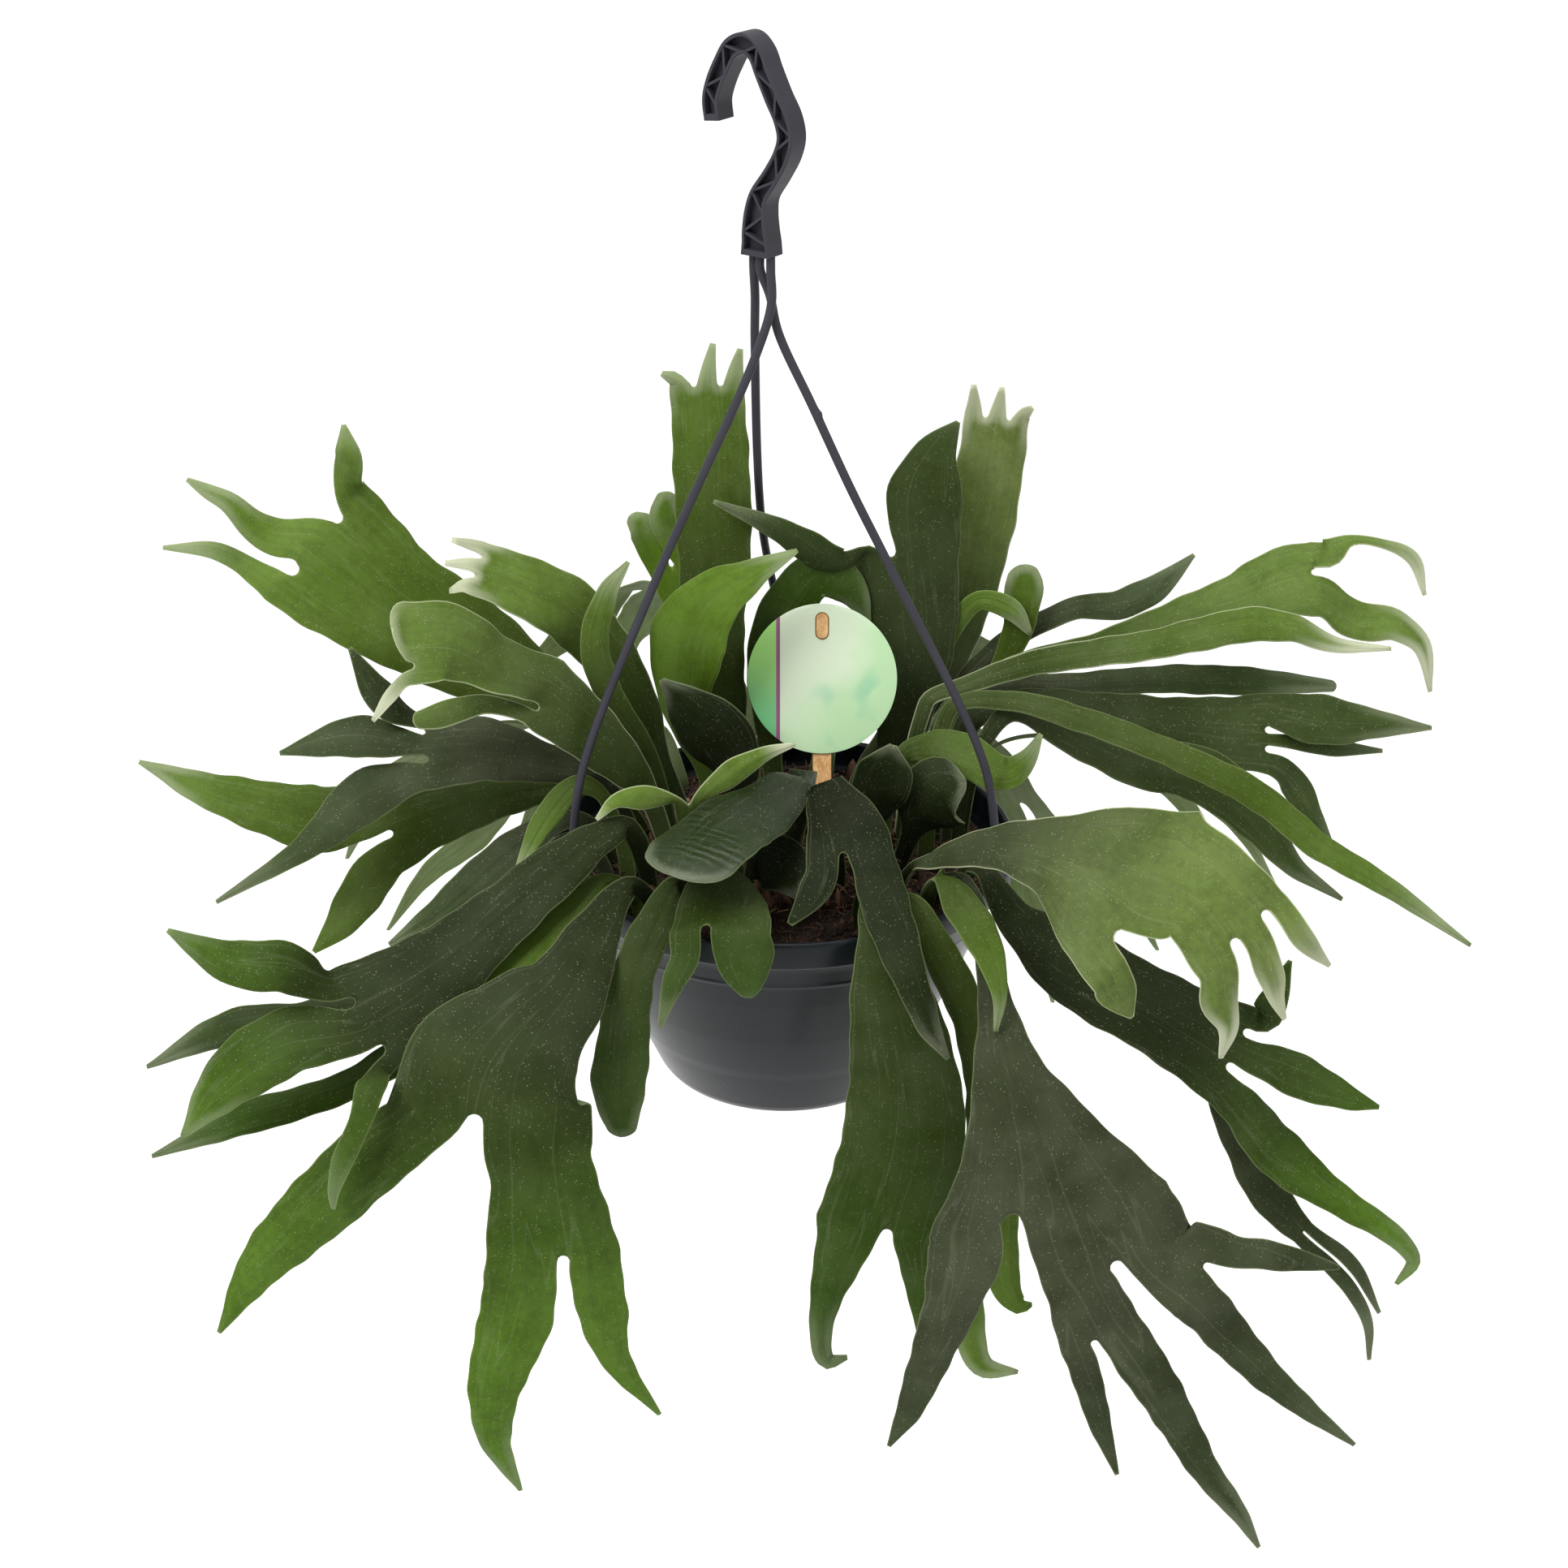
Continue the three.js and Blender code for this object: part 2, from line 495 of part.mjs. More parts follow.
        lobes: [
          { run: [[176, -126, 120, 3.8], [186, -122, 108, 0.8]] },
          { run: [[165, -129, 108, 4.7], [168, -128, 98, 2.8], [172, -124, 88, 0.8]] },
          { run: [[148, -131, 99, 6.6], [152, -129, 88, 3.9], [151, -125, 73, 0.8]] },
        ],
      },
      { run: [[115, -124, 97, 6.7], [120, -121, 87, 0.8]] },
    ],
  },
  right_lower: {
    foot: [66, -28], face: TO_VIEWER,
    run: [[73, -50, 107, 4], [84, -60, 93, 7.4], [106, -63, 75, 14.4], [141, -70, 56, 16.4],
      [166, -77, 44, 19.7]],
    lobes: [
      { run: [[177, -73, 60, 6.5], [185, -66, 78, 0.8]] },
      { run: [[190, -78, 36, 8.4], [208, -78, 27, 5], [221, -76, 21, 0.8]] },
      { run: [[184, -82, 5, 10], [207, -84, -14, 6.1], [229, -84, -30, 4.4], [239, -83, -43, 3],
        [234, -82, -55, 0.8]] },
    ],
  },
  right_tails: {
    foot: [70, -16], face: TO_VIEWER,
    run: [[82, -22, 106, 3.2], [98, -30, 96, 3.2], [120, -40, 67, 3.4], [142, -50, 44, 3.6],
      [160, -58, 25, 4.4],
      [172, -64, 1, 7], [185, -69, -23, 7.6], [199, -71, -39, 5]],
    lobes: [
      { run: [[219, -72, -53, 2.8], [232, -71, -77, 0.8]] },
      { run: [[216, -73, -60, 3], [227, -73, -79, 2.2], [230, -72, -99, 0.8]] },
    ],
  },
  right_long_dark: {
    foot: [64, 7], face: TO_VIEWER,
    run: [[70, 11, 138, 5], [88, 11, 146, 6.2], [119, 12, 141, 9.3], [147, 11, 137, 11.8],
      [170, 10, 135, 14.9], [185, 9, 135, 16.4]],
    lobes: [
      { run: [[201, 9, 141, 10.2], [224, 9, 139, 6.2], [247, 9, 137, 0.8]] },
      { run: [[211, 15, 126, 3.4], [231, 16, 124, 0.8]] },
      { run: [[195, 6, 116, 5.9], [204, 3, 101, 4.4], [213, 1, 88, 0.8]] },
    ],
  },
  right_crossing: {
    foot: [54, -8], face: TO_VIEWER,
    run: [[62, 0, 148, 3.2], [84, -8, 156, 3.9], [112, -20, 153, 5.1], [142, -31, 145, 5.3],
      [173, -39, 132, 5.6], [196, -44, 114, 5.4], [222, -48, 99, 3.9], [254, -53, 77, 0.8]],
  },
  right_under: {
    foot: [66, -8], face: TO_VIEWER,
    run: [[73, -8, 134, 3], [86, -4, 150, 4], [108, -5, 140, 6.7], [133, -7, 130, 9.5],
      [157, -11, 127, 10.7], [176, -16, 114, 9.5], [192, -20, 94, 4.6], [212, -23, 80, 0.8]],
  },
  right_high_two: {
    foot: [53, 22], face: TO_VIEWER,
    run: [[66, 27, 135, 3.8], [89, 34, 151, 5], [121, 38, 159, 5], [152, 41, 169, 7.5],
      [177, 43, 176, 11.9], [194, 45, 183, 14.4], [205, 45, 184, 15]],
    lobes: [
      {
        run: [[209, 46, 194, 5.9], [217, 46, 199, 2.5], [229, 46, 198, 1.9], [242, 46, 192, 2.8],
          [248, 45, 177, 0.8]],
      },
      { run: [[222, 44, 167, 8.2], [238, 44, 165, 6.3], [249, 43, 156, 3.8], [254, 43, 137, 0.8]] },
    ],
  },
  right_high_bright: {
    foot: [46, 9], face: TO_VIEWER,
    run: [[54, 8, 148, 3.1], [69, 11, 154, 3.7], [95, 14, 162, 4.9], [141, 18, 168, 6.2],
      [175, 20, 175, 6.8], [192, 20, 174, 5.8], [209, 20, 167, 3.4], [231, 20, 165, 0.8]],
  },
  right_grey_flat: {
    foot: [58, 15], face: [0, -0.6, 0.8],
    run: [[62, 17, 140, 3], [80, 22, 150, 4], [104, 27, 147, 5], [149, 33, 147, 6.3], [187, 35, 145, 5.7],
      [215, 35, 143, 2.5]],
  },
  right_notched: {
    foot: [56, 44], face: TO_VIEWER,
    run: [[66, 46, 132, 3.2], [84, 50, 153, 4.1], [114, 56, 167, 4.8], [132, 60, 167, 6.1],
      [147, 62, 174, 5.1], [161, 65, 186, 0.8]],
  },
  right_small_round: {
    foot: [64, 33], face: TO_VIEWER,
    run: [[72, 38, 126, 3.2], [83, 44, 143, 3.8], [91, 46, 162, 6], [93, 48, 179, 7.4], [92, 49, 188, 5]],
  },
  right_bent_strap: {
    foot: [50, 39], face: UPRIGHT,
    run: [[54, 44, 130, 3.1], [64, 46, 158, 3.6], [75, 44, 175, 3.8], [88, 42, 172, 4.2],
      [96, 41, 162, 0.9]],
  },
  right_hooked: {
    foot: [37, 0], face: TO_VIEWER,
    run: [[45, -4, 131, 3.7], [55, -11, 139, 6.1], [67, -18, 139, 7.9], [81, -25, 134, 6.7],
      [89, -28, 141, 3.9],
      [94, -29, 152, 0.8]],
  },
  right_inner_dark: {
    foot: [44, -14], face: [0.2, -0.7, 0.68],
    run: [[49, -17, 107, 5], [53, -22, 118, 13], [59, -27, 128, 13.5], [67, -33, 134, 1.8]],
  },
  inner_dark_right: {
    foot: [28, -12], face: TO_VIEWER,
    run: [[30, -15, 106, 5], [34, -20, 122, 10], [38, -26, 136, 10], [40, -30, 148, 1.4]],
  },
  inner_dark_left: {
    foot: [-12, -33], face: [-0.3, -0.75, 0.6],
    run: [[-10, -38, 104, 5], [-5, -46, 109, 10], [1, -54, 108, 10], [5, -62, 102, 1.4]],
  },
  left_high_three: {
    foot: [-46, 31], face: TO_VIEWER,
    run: [[-66, 32, 115, 3.8], [-84, 27, 135, 10], [-114, 26, 159, 18.5], [-150, 26, 183, 24.3],
      [-162, 27, 193, 27.6], [-176, 28, 206, 29.3]],
    lobes: [
      { run: [[-204, 28, 196, 4], [-215, 28, 202, 3.4], [-234, 28, 203, 0.8]] },
      { run: [[-195, 28, 209, 6.7], [-208, 29, 221, 3.9], [-216, 30, 225, 2.7], [-223, 31, 229, 0.8]] },
      { run: [[-162, 30, 240, 4.8], [-163, 32, 250, 0.8]] },
    ],
  },
  left_ragged_pale: {
    foot: [-38, 17], face: TO_VIEWER,
    run: [[-47, 14, 122, 3.2], [-54, 12, 145, 6.8], [-67, 10, 169, 10.4], [-83, 4, 190, 12.6],
      [-113, -1, 207, 10.5]],
    lobes: [
      { run: [[-123, -1, 197, 1]] },
      { run: [[-124, -1, 208, 1]] },
      { run: [[-121, -1, 217, 1]] },
    ],
  },
  left_pale_broad: {
    foot: [-44, -11], face: TO_VIEWER,
    run: [[-52, -14, 122, 4.6], [-58, -18, 133, 8.2], [-72, -23, 151, 11.3], [-87, -28, 168, 13.9]],
    lobes: [
      { run: [[-109, -27, 163, 3.8], [-124, -29, 160, 5.3], [-135, -31, 158, 3]] },
      {
        run: [[-103, -35, 183, 11.3], [-118, -41, 194, 14.4], [-133, -45, 195, 15.5]],
        lobes: [
          { run: [[-140, -46, 175, 2.6], [-147, -46, 165, 0.8]] },
          { run: [[-138, -46, 200, 10.8]] },
        ],
      },
    ],
  },
  left_mid_grey: {
    foot: [-57, 0], face: TO_VIEWER,
    run: [[-70, -4, 123, 3.7], [-85, -6, 128, 6.7], [-111, -12, 138, 12.7], [-134, -18, 140, 15]],
    lobes: [
      { run: [[-155, -27, 126, 10.2], [-178, -34, 108, 5], [-212, -38, 87, 0.8]] },
      { run: [[-158, -20, 147, 8], [-187, -20, 140, 0.8]] },
      { run: [[-148, -17, 161, 6], [-159, -14, 180, 0.8]] },
    ],
  },
  left_far: {
    foot: [-56, 15], face: TO_VIEWER,
    run: [[-71, 9, 111, 3.7], [-89, 7, 113, 5.6], [-120, 2, 109, 11.2], [-138, -1, 105, 14.3],
      [-152, -4, 101, 18]],
    lobes: [
      { run: [[-158, -13, 84, 9], [-169, -23, 70, 6.2], [-179, -30, 61, 0.9]] },
      { run: [[-177, -4, 105, 13], [-195, -4, 109, 10.8], [-219, -4, 117, 7.1], [-245, 0, 127, 0.8]] },
    ],
  },
  left_strap_grey: {
    foot: [-66, -8], face: TO_VIEWER,
    run: [[-74, -10, 106, 3.2], [-86, -15, 109, 4.9], [-106, -25, 99, 7.3], [-128, -35, 82, 6.1],
      [-148, -42, 71, 0.9]],
  },
  left_strap_green: {
    foot: [-59, -22], face: TO_VIEWER,
    run: [[-67, -18, 120, 2.6], [-77, -20, 127, 4.2], [-89, -30, 117, 4.6], [-99, -44, 102, 0.9]],
  },
  left_three_pale: {
    foot: [-50, -34], face: TO_VIEWER,
    run: [[-57, -43, 121, 4.4], [-68, -55, 122, 6.8], [-81, -65, 116, 10], [-106, -79, 99, 12.4],
      [-127, -90, 85, 16.4], [-150, -100, 73, 22.5]],
    lobes: [
      {
        run: [[-142, -134, 67, 5.3], [-146, -141, 56, 3.9], [-152, -143, 43, 3.9], [-156, -143, 31, 2.3],
          [-157, -142, 22, 0.8]],
      },
      { run: [[-175, -107, 69, 12], [-198, -111, 54, 10], [-215, -112, 32, 0.9]] },
      { run: [[-175, -102, 96, 9.4], [-194, -103, 99, 7.4], [-215, -99, 109, 0.8]] },
    ],
  },
  left_low_upper: {
    foot: [-68, -19], face: TO_VIEWER,
    run: [[-80, -22, 106, 3.6], [-97, -33, 92, 5], [-112, -48, 77, 6.4], [-145, -66, 62, 7.8],
      [-174, -75, 59, 6.6],
      [-203, -77, 56, 6.5], [-235, -75, 38, 0.8]],
  },
  left_low_lower: {
    foot: [-60, -44], face: TO_VIEWER,
    run: [[-75, -52, 103, 3.6], [-90, -57, 90, 4.6], [-108, -62, 66, 6], [-133, -70, 47, 7.2],
      [-163, -80, 32, 5.8],
      [-200, -86, 22, 6], [-235, -83, 4, 0.8]],
  },
  front_left_big: {
    foot: [-46, -56], face: HANGING,
    run: [[-55, -68, 110, 4.3], [-65, -84, 104, 8.3], [-76, -102, 88, 15], [-89, -115, 79, 22.6],
      [-99, -123, 67, 32.4], [-103, -130, 49, 36.1]],
    lobes: [
      {
        run: [[-84, -135, 25, 19.3], [-83, -137, 15, 21.4], [-82, -139, -2, 23.8]],
        lobes: [
          { run: [[-65, -139, -23, 9.3], [-61, -137, -47, 5.6], [-46, -129, -79, 0.8]] },
          {
            run: [[-96, -139, -27, 13.6], [-105, -138, -58, 10], [-107, -134, -86, 6.3],
              [-99, -129, -115, 0.8]],
          },
        ],
      },
      {
        run: [[-141, -133, 40, 14.4], [-166, -134, 15, 12], [-188, -131, -11, 8.1], [-206, -127, -43, 0.8]],
      },
    ],
  },
  left_green_between: {
    foot: [-53, -47], face: TO_VIEWER,
    run: [[-66, -58, 107, 4], [-82, -74, 93, 9], [-104, -88, 75, 12.4], [-124, -98, 61, 10],
      [-137, -104, 50, 0.9]],
  },
  left_hanging: {
    foot: [-34, -50], face: HANGING,
    run: [[-39, -68, 110, 4], [-46, -84, 103, 7], [-54, -93, 85, 7.8], [-58, -94, 58, 9.6],
      [-60, -94, 39, 9.7], [-59, -94, 20, 4.4]],
  },
  back_left_reach: {
    foot: [-12, 48], face: TO_BACK,
    run: [[-18, 66, 128, 4.4], [-30, 96, 146, 9], [-44, 128, 146, 16], [-54, 154, 134, 24]],
    lobes: [
      { run: [[-84, 162, 120, 9], [-104, 172, 100, 6], [-120, 178, 76, 0.9]] },
      { run: [[-62, 178, 116, 10], [-72, 198, 92, 6], [-78, 208, 62, 0.9]] },
      { run: [[-38, 180, 116, 9], [-34, 200, 90, 5], [-30, 208, 62, 0.9]] },
    ],
  },
  back_right_reach: {
    foot: [12, 46], face: TO_BACK,
    run: [[20, 66, 122, 4.4], [34, 96, 132, 9], [48, 124, 128, 17], [58, 146, 114, 25]],
    lobes: [
      { run: [[38, 166, 88, 9], [32, 178, 62, 5], [26, 182, 36, 0.9]] },
      { run: [[66, 172, 92, 10], [72, 188, 64, 6], [78, 194, 32, 0.9]] },
      { run: [[90, 156, 104, 10], [112, 166, 84, 6], [128, 172, 58, 0.9]] },
    ],
  },
  back_hanging: {
    foot: [17, 64], face: [0, 0.95, 0.3],
    run: [[19, 82, 111, 5], [18, 99, 100, 10], [14, 112, 74, 17], [8, 120, 42, 22], [2, 124, 14, 24]],
    lobes: [
      { run: [[-18, 126, -14, 10], [-27, 126, -44, 6], [-26, 122, -78, 0.9]] },
      { run: [[22, 126, -12, 9], [28, 126, -38, 6], [34, 122, -66, 0.9]] },
    ],
  },
  back_left_hanging: {
    foot: [-42, 56], face: [-0.4, 0.8, 0.45],
    run: [[-54, 72, 110, 5], [-70, 90, 104, 10], [-88, 108, 82, 18], [-102, 120, 52, 26]],
    lobes: [
      { run: [[-136, 118, 34, 9], [-158, 120, 14, 6], [-176, 118, -12, 0.9]] },
      { run: [[-112, 128, 16, 11], [-122, 130, -18, 7], [-126, 126, -52, 0.9]] },
      { run: [[-84, 132, 20, 10], [-82, 134, -10, 6], [-76, 130, -40, 0.9]] },
    ],
  },
  back_right_hanging: {
    foot: [37, 59], face: [0.4, 0.8, 0.45],
    run: [[52, 78, 109, 4], [68, 94, 100, 10], [84, 108, 78, 18], [96, 118, 50, 25]],
    lobes: [
      { run: [[80, 130, 20, 9], [74, 132, -8, 6], [68, 128, -36, 0.9]] },
      { run: [[108, 128, 14, 11], [116, 130, -20, 7], [122, 126, -54, 0.9]] },
      { run: [[128, 118, 30, 10], [150, 118, 8, 6], [166, 114, -20, 0.9]] },
    ],
  },
  back_left_side: {
    foot: [-62, 40], face: [-0.2, 0.6, 0.78],
    run: [[-84, 54, 112, 4.6], [-108, 68, 112, 9], [-136, 80, 98, 15]],
    lobes: [
      { run: [[-166, 78, 84, 8], [-188, 78, 68, 5], [-206, 76, 44, 0.9]] },
      { run: [[-160, 100, 76, 8], [-178, 108, 54, 5], [-190, 110, 28, 0.9]] },
    ],
  },
  back_right_side: {
    foot: [62, 38], face: [0.2, 0.6, 0.78],
    run: [[86, 54, 109, 4.4], [112, 68, 106, 9], [138, 78, 92, 15]],
    lobes: [
      { run: [[162, 96, 70, 8], [178, 104, 48, 5], [190, 106, 22, 0.9]] },
      { run: [[168, 76, 78, 8], [190, 74, 60, 5], [206, 72, 36, 0.9]] },
    ],
  },
};

// Across a blade its edges turn back by CUP of its half width, and wave along its length.
const CUP = 0.14;
const WAVE = 0.1;
const WAVE_LENGTH = 13;
const WAVE_LAG = 1.5;
const EDGE_LEVEL = 0.33;
const LEAST_HALF_WIDTH = 0.7;

const ease = (t) => THREE.MathUtils.smoothstep(t, 0, 1);

/** The number of blade columns that a run needs: one for each lobe and one for each sinus between lobes. */
function columnsOf(run) {
  if (!run.lobes) return [-1, 1];
  const shares = sharesOf(run.lobes);
  return shares.flatMap(([from, to], i) => {
    return columnsOf(run.lobes[i]).map((v) => from + (to - from) * (v + 1) / 2);
  });
}

/** The stretch of the last row, from -1 to 1, that each lobe grows from. */
function sharesOf(lobes) {
  const widths = lobes.map((lobe) => lobe.run[0][3]);
  const total = widths.reduce((sum, width) => sum + width, 0);
  const sinuses = SINUS_SHARE * (lobes.length - 1);
  let from = -1;
  return widths.map((width) => {
    const to = from + 2 * (1 - sinuses) * width / total;
    const share = [from, to];
    from = to + 2 * SINUS_SHARE;
    return share;
  });
}

/** A smooth line through stations, as cubics whose slopes come from the stations on either side. */
class Line {
  constructor(stations, lead) {
    this.stations = stations;
    this.knots = [0];
    for (let i = 1; i < stations.length; i += 1) {
      const step = Math.hypot(...[0, 1, 2].map((k) => stations[i][k] - stations[i - 1][k]));
      this.knots.push(this.knots[i - 1] + step);
    }
    this.length = this.knots.at(-1);
    this.slopes = stations.map((station, i) => {
      const low = Math.max(i - 1, 0);
      const high = Math.min(i + 1, stations.length - 1);
      const span = this.knots[high] - this.knots[low];
      return [0, 1, 2, 3].map((k) => (stations[high][k] - stations[low][k]) / span);
    });
    const turned = [0, 1, 2].map((k) => (this.slopes[0][k] + lead.getComponent(k)) / 2);
    this.slopes[0] = [...turned, this.slopes[0][3]];
  }

  at(distance) {
    let i = 1;
    while (i < this.knots.length - 1 && distance > this.knots[i]) i += 1;
    const span = this.knots[i] - this.knots[i - 1];
    const t = (distance - this.knots[i - 1]) / span;
    const [a, b] = [this.stations[i - 1], this.stations[i]];
    const [m, n] = [this.slopes[i - 1], this.slopes[i]];
    const value = (k) => (2 * t ** 3 - 3 * t ** 2 + 1) * a[k] + (t ** 3 - 2 * t ** 2 + t) * span * m[k]
      + (3 * t ** 2 - 2 * t ** 3) * b[k] + (t ** 3 - t ** 2) * span * n[k];
    const slope = (k) => (6 * t ** 2 - 6 * t) * (a[k] - b[k]) / span + (3 * t ** 2 - 4 * t + 1) * m[k]
      + (3 * t ** 2 - 2 * t) * n[k];
    return {
      centre: new THREE.Vector3(value(0), value(1), value(2)),
      ahead: new THREE.Vector3(slope(0), slope(1), slope(2)).normalize(),
      half: Math.max(value(3), LEAST_HALF_WIDTH),
    };
  }
}

/** A leaf's middle surface as points and triangles, grown row by row. */
class Sheet {
  constructor() {
    this.points = [];
    this.thickness = [];
    this.triangles = [];
  }

  add(point, thickness) {
    this.points.push(point);
    this.thickness.push(thickness);
    return this.points.length - 1;
  }

  join(before, after) {
    for (let j = 0; j + 1 < before.length; j += 1) {
      this.triangles.push([before[j], before[j + 1], after[j + 1]], [before[j], after[j + 1], after[j]]);
    }
  }

  /** Both faces and the edge between them, each face half the thickness from the middle surface. */
  thicken() {
    const normals = this.points.map(() => new THREE.Vector3());
    for (const [a, b, c] of this.triangles) {
      const ab = this.points[b].clone().sub(this.points[a]);
      const ac = this.points[c].clone().sub(this.points[a]);
      const area = ab.cross(ac);
      [a, b, c].forEach((i) => normals[i].add(area));
    }
    const count = this.points.length;
    const position = new Float32Array(6 * count);
    this.points.forEach((point, i) => {
      const lift = normals[i].normalize().multiplyScalar(this.thickness[i] / 2);
      point.clone().add(lift).toArray(position, 3 * i);
      point.clone().sub(lift).toArray(position, 3 * (i + count));
    });
    const index = [];
    const edges = new Map();
    for (const [a, b, c] of this.triangles) {
      index.push(a, b, c, a + count, c + count, b + count);
      for (const [from, to] of [[a, b], [b, c], [c, a]]) {
        if (!edges.delete(`${to} ${from}`)) edges.set(`${from} ${to}`, [from, to]);
      }
    }
    for (const [from, to] of edges.values()) {
      index.push(from, from + count, to + count, from, to + count, to);
    }
    const geometry = new THREE.BufferGeometry();
    geometry.setAttribute('position', new THREE.BufferAttribute(position, 3));
    geometry.setIndex(index);
    geometry.computeVertexNormals();
    return geometry;
  }
}

/** Grows a run and its lobes from the seam, a row of points that the run before it ends in. */
function grow(sheet, run, seam, columns, lead, frond) {
  const ends = [sheet.points[seam[0]], sheet.points[seam.at(-1)]];
  const middle = ends[0].clone().add(ends[1]).multiplyScalar(0.5);
  const line = new Line([[...middle, ends[0].distanceTo(ends[1]) / 2], ...run.run], lead);
  const face = new THREE.Vector3(...frond.face);
  const tipFace = new THREE.Vector3(...(frond.tipFace ?? frond.face));
  const surface = (distance, v) => {
    const { centre, ahead, half } = line.at(distance);
    const facing = face.clone().lerp(tipFace, frond.root === run ? distance / line.length : 1);
    const side = ahead.clone().cross(facing).normalize();
    const up = side.clone().cross(ahead);
    const wave = WAVE * v * v * Math.sin(distance / WAVE_LENGTH + frond.phase + WAVE_LAG * v);
    const lift = half * (wave - CUP * (v * v - EDGE_LEVEL));
    return centre.addScaledVector(side, v * half).addScaledVector(up, lift);
  };
  const misfit = seam.map((id, j) => sheet.points[id].clone().sub(surface(0, columns[j])));
  const rows = Math.max(2, Math.round(line.length / ROW_STEP));
  let row = seam;
  for (let i = 1; i <= rows; i += 1) {
    const distance = line.length * i / rows;
    const keep = 1 - ease(2 * i / rows);
    const stipe = frond.root === run ? 1 - ease(distance / STIPE_EASE) : 0;
    const thickness = BLADE_THICKNESS + (STIPE_THICKNESS - BLADE_THICKNESS) * stipe;
    const next = columns.map((v, j) => {
      return sheet.add(surface(distance, v).addScaledVector(misfit[j], keep), thickness);
    });
    sheet.join(row, next);
    row = next;
  }
  if (!run.lobes) return;
  const { ahead } = line.at(line.length);
  let first = 0;
  for (const lobe of run.lobes) {
    const own = columnsOf(lobe);
    grow(sheet, lobe, row.slice(first, first + own.length), own, ahead, frond);
    first += own.length;
  }
}

/** The level direction across a frond's foot. */
function acrossFoot(frond) {
  return new THREE.Vector3(-frond.face[1], frond.face[0], 0).normalize();
}

/** A frond from the bottom of its stipe to the tips of its lobes. */
function frondGeometry(frond) {
  const sheet = new Sheet();
  const [x, y] = frond.foot;
  const columns = frond.lobes ? columnsOf(frond) : [-1, 0, 1];
  const across = acrossFoot(frond);
  const level = (z) => columns.map((v) => sheet.add(
    new THREE.Vector3(x, y, z).addScaledVector(across, v * STIPE_HALF_WIDTH), STIPE_THICKNESS));
  const buried = level(SOIL_LEVEL - STIPE_DEPTH);
  const seam = level(SOIL_LEVEL + STIPE_RISE);
  sheet.join(buried, seam);
  grow(sheet, frond, seam, columns, new THREE.Vector3(0, 0, 1), { ...frond, root: frond });
  return sheet.thicken();
}

/** The plain hole in the soil that a frond stands in. */
function frondHole(frond) {
  const across = acrossFoot(frond);
  const hole = new THREE.BoxGeometry(
    2 * STIPE_HALF_WIDTH + 4 * CLEARANCE, STIPE_THICKNESS + 2 * CLEARANCE, STIPE_DEPTH + 10);
  hole.rotateZ(Math.atan2(across.y, across.x));
  hole.translate(frond.foot[0], frond.foot[1], SOIL_LEVEL - STIPE_DEPTH / 2 + 5 - CLEARANCE);
  return solid(hole);
}

// Assembly.
place('pot', potGeometry(), finishes.plastic);
place('hanger_hook', hookGeometry(), finishes.plastic);
for (const [name, strap] of Object.entries(STRAPS)) place(name, strapGeometry(strap), finishes.plastic);
place('label_disc', discGeometry(), finishes.card);
place('label_stick', standLabel(geometryOf(stickBody())), finishes.wood);

let soil = solid(soilGeometry()).subtract(stickHole());
Object.entries(FRONDS).forEach(([name, frond], i) => {
  soil = soil.subtract(frondHole(frond));
  place(`frond_${name}`, frondGeometry({ ...frond, phase: 1.7 * i }), finishes.leaf);
});
place('soil', geometryOf(soil), finishes.soil);

export default part;
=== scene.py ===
"""Looks of a staghorn fern in its hanging pot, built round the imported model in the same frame, in metres.

Sizes are named in millimetres and turned into metres where a piece is made. The centre of the pot's
underside is the origin, +Z is up, and the photograph looks along +Y and down.
"""

import logging
import math
from dataclasses import dataclass, field
from enum import Enum

import bpy
import numpy as np
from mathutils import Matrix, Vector

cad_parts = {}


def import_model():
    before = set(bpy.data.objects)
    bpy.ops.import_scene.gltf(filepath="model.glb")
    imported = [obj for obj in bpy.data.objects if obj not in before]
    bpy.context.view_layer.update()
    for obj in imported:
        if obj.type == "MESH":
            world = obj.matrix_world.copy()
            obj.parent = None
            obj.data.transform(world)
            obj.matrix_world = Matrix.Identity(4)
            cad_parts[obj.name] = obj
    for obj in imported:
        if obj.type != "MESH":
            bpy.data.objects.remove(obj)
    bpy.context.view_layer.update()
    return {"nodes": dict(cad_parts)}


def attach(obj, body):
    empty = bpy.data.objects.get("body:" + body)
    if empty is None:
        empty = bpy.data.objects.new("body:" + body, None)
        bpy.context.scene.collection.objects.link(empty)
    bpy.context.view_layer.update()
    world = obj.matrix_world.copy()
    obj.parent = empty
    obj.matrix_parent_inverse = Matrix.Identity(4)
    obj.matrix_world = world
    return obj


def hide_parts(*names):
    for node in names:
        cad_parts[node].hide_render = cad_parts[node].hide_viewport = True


MM = 0.001
CLEARANCE = 0.35
RIM_RADIUS = 89.0
RIM_HEIGHT = 97.0
WALL = 1.8
SOIL_LEVEL = 87.0
CORNER_STEPS = 3
LEAST_HALF = 0.7

Colour = tuple[float, float, float, float]
Span = tuple[float, float]
log = logging.getLogger("staghorn_fern")


def srgb(red: int, green: int, blue: int) -> Colour:
    """A colour given as the eye sees it, 0 to 255, as the linear values that shaders use.

    Args:
        red, green, blue: the screen values.

    Returns:
        The linear colour with full alpha.
    """
    def linear(value: int) -> float:
        """One channel's linear value."""
        share = value / 255
        return share / 12.92 if share <= 0.04045 else ((share + 0.055) / 1.055) ** 2.4

    return linear(red), linear(green), linear(blue), 1.0


def smooth(value: np.ndarray) -> np.ndarray:
    """Eases a share from 0 to 1 with level ends: 3 t squared less 2 t cubed, held between 0 and 1."""
    held = np.clip(value, 0, 1)
    return held * held * (3 - 2 * held)


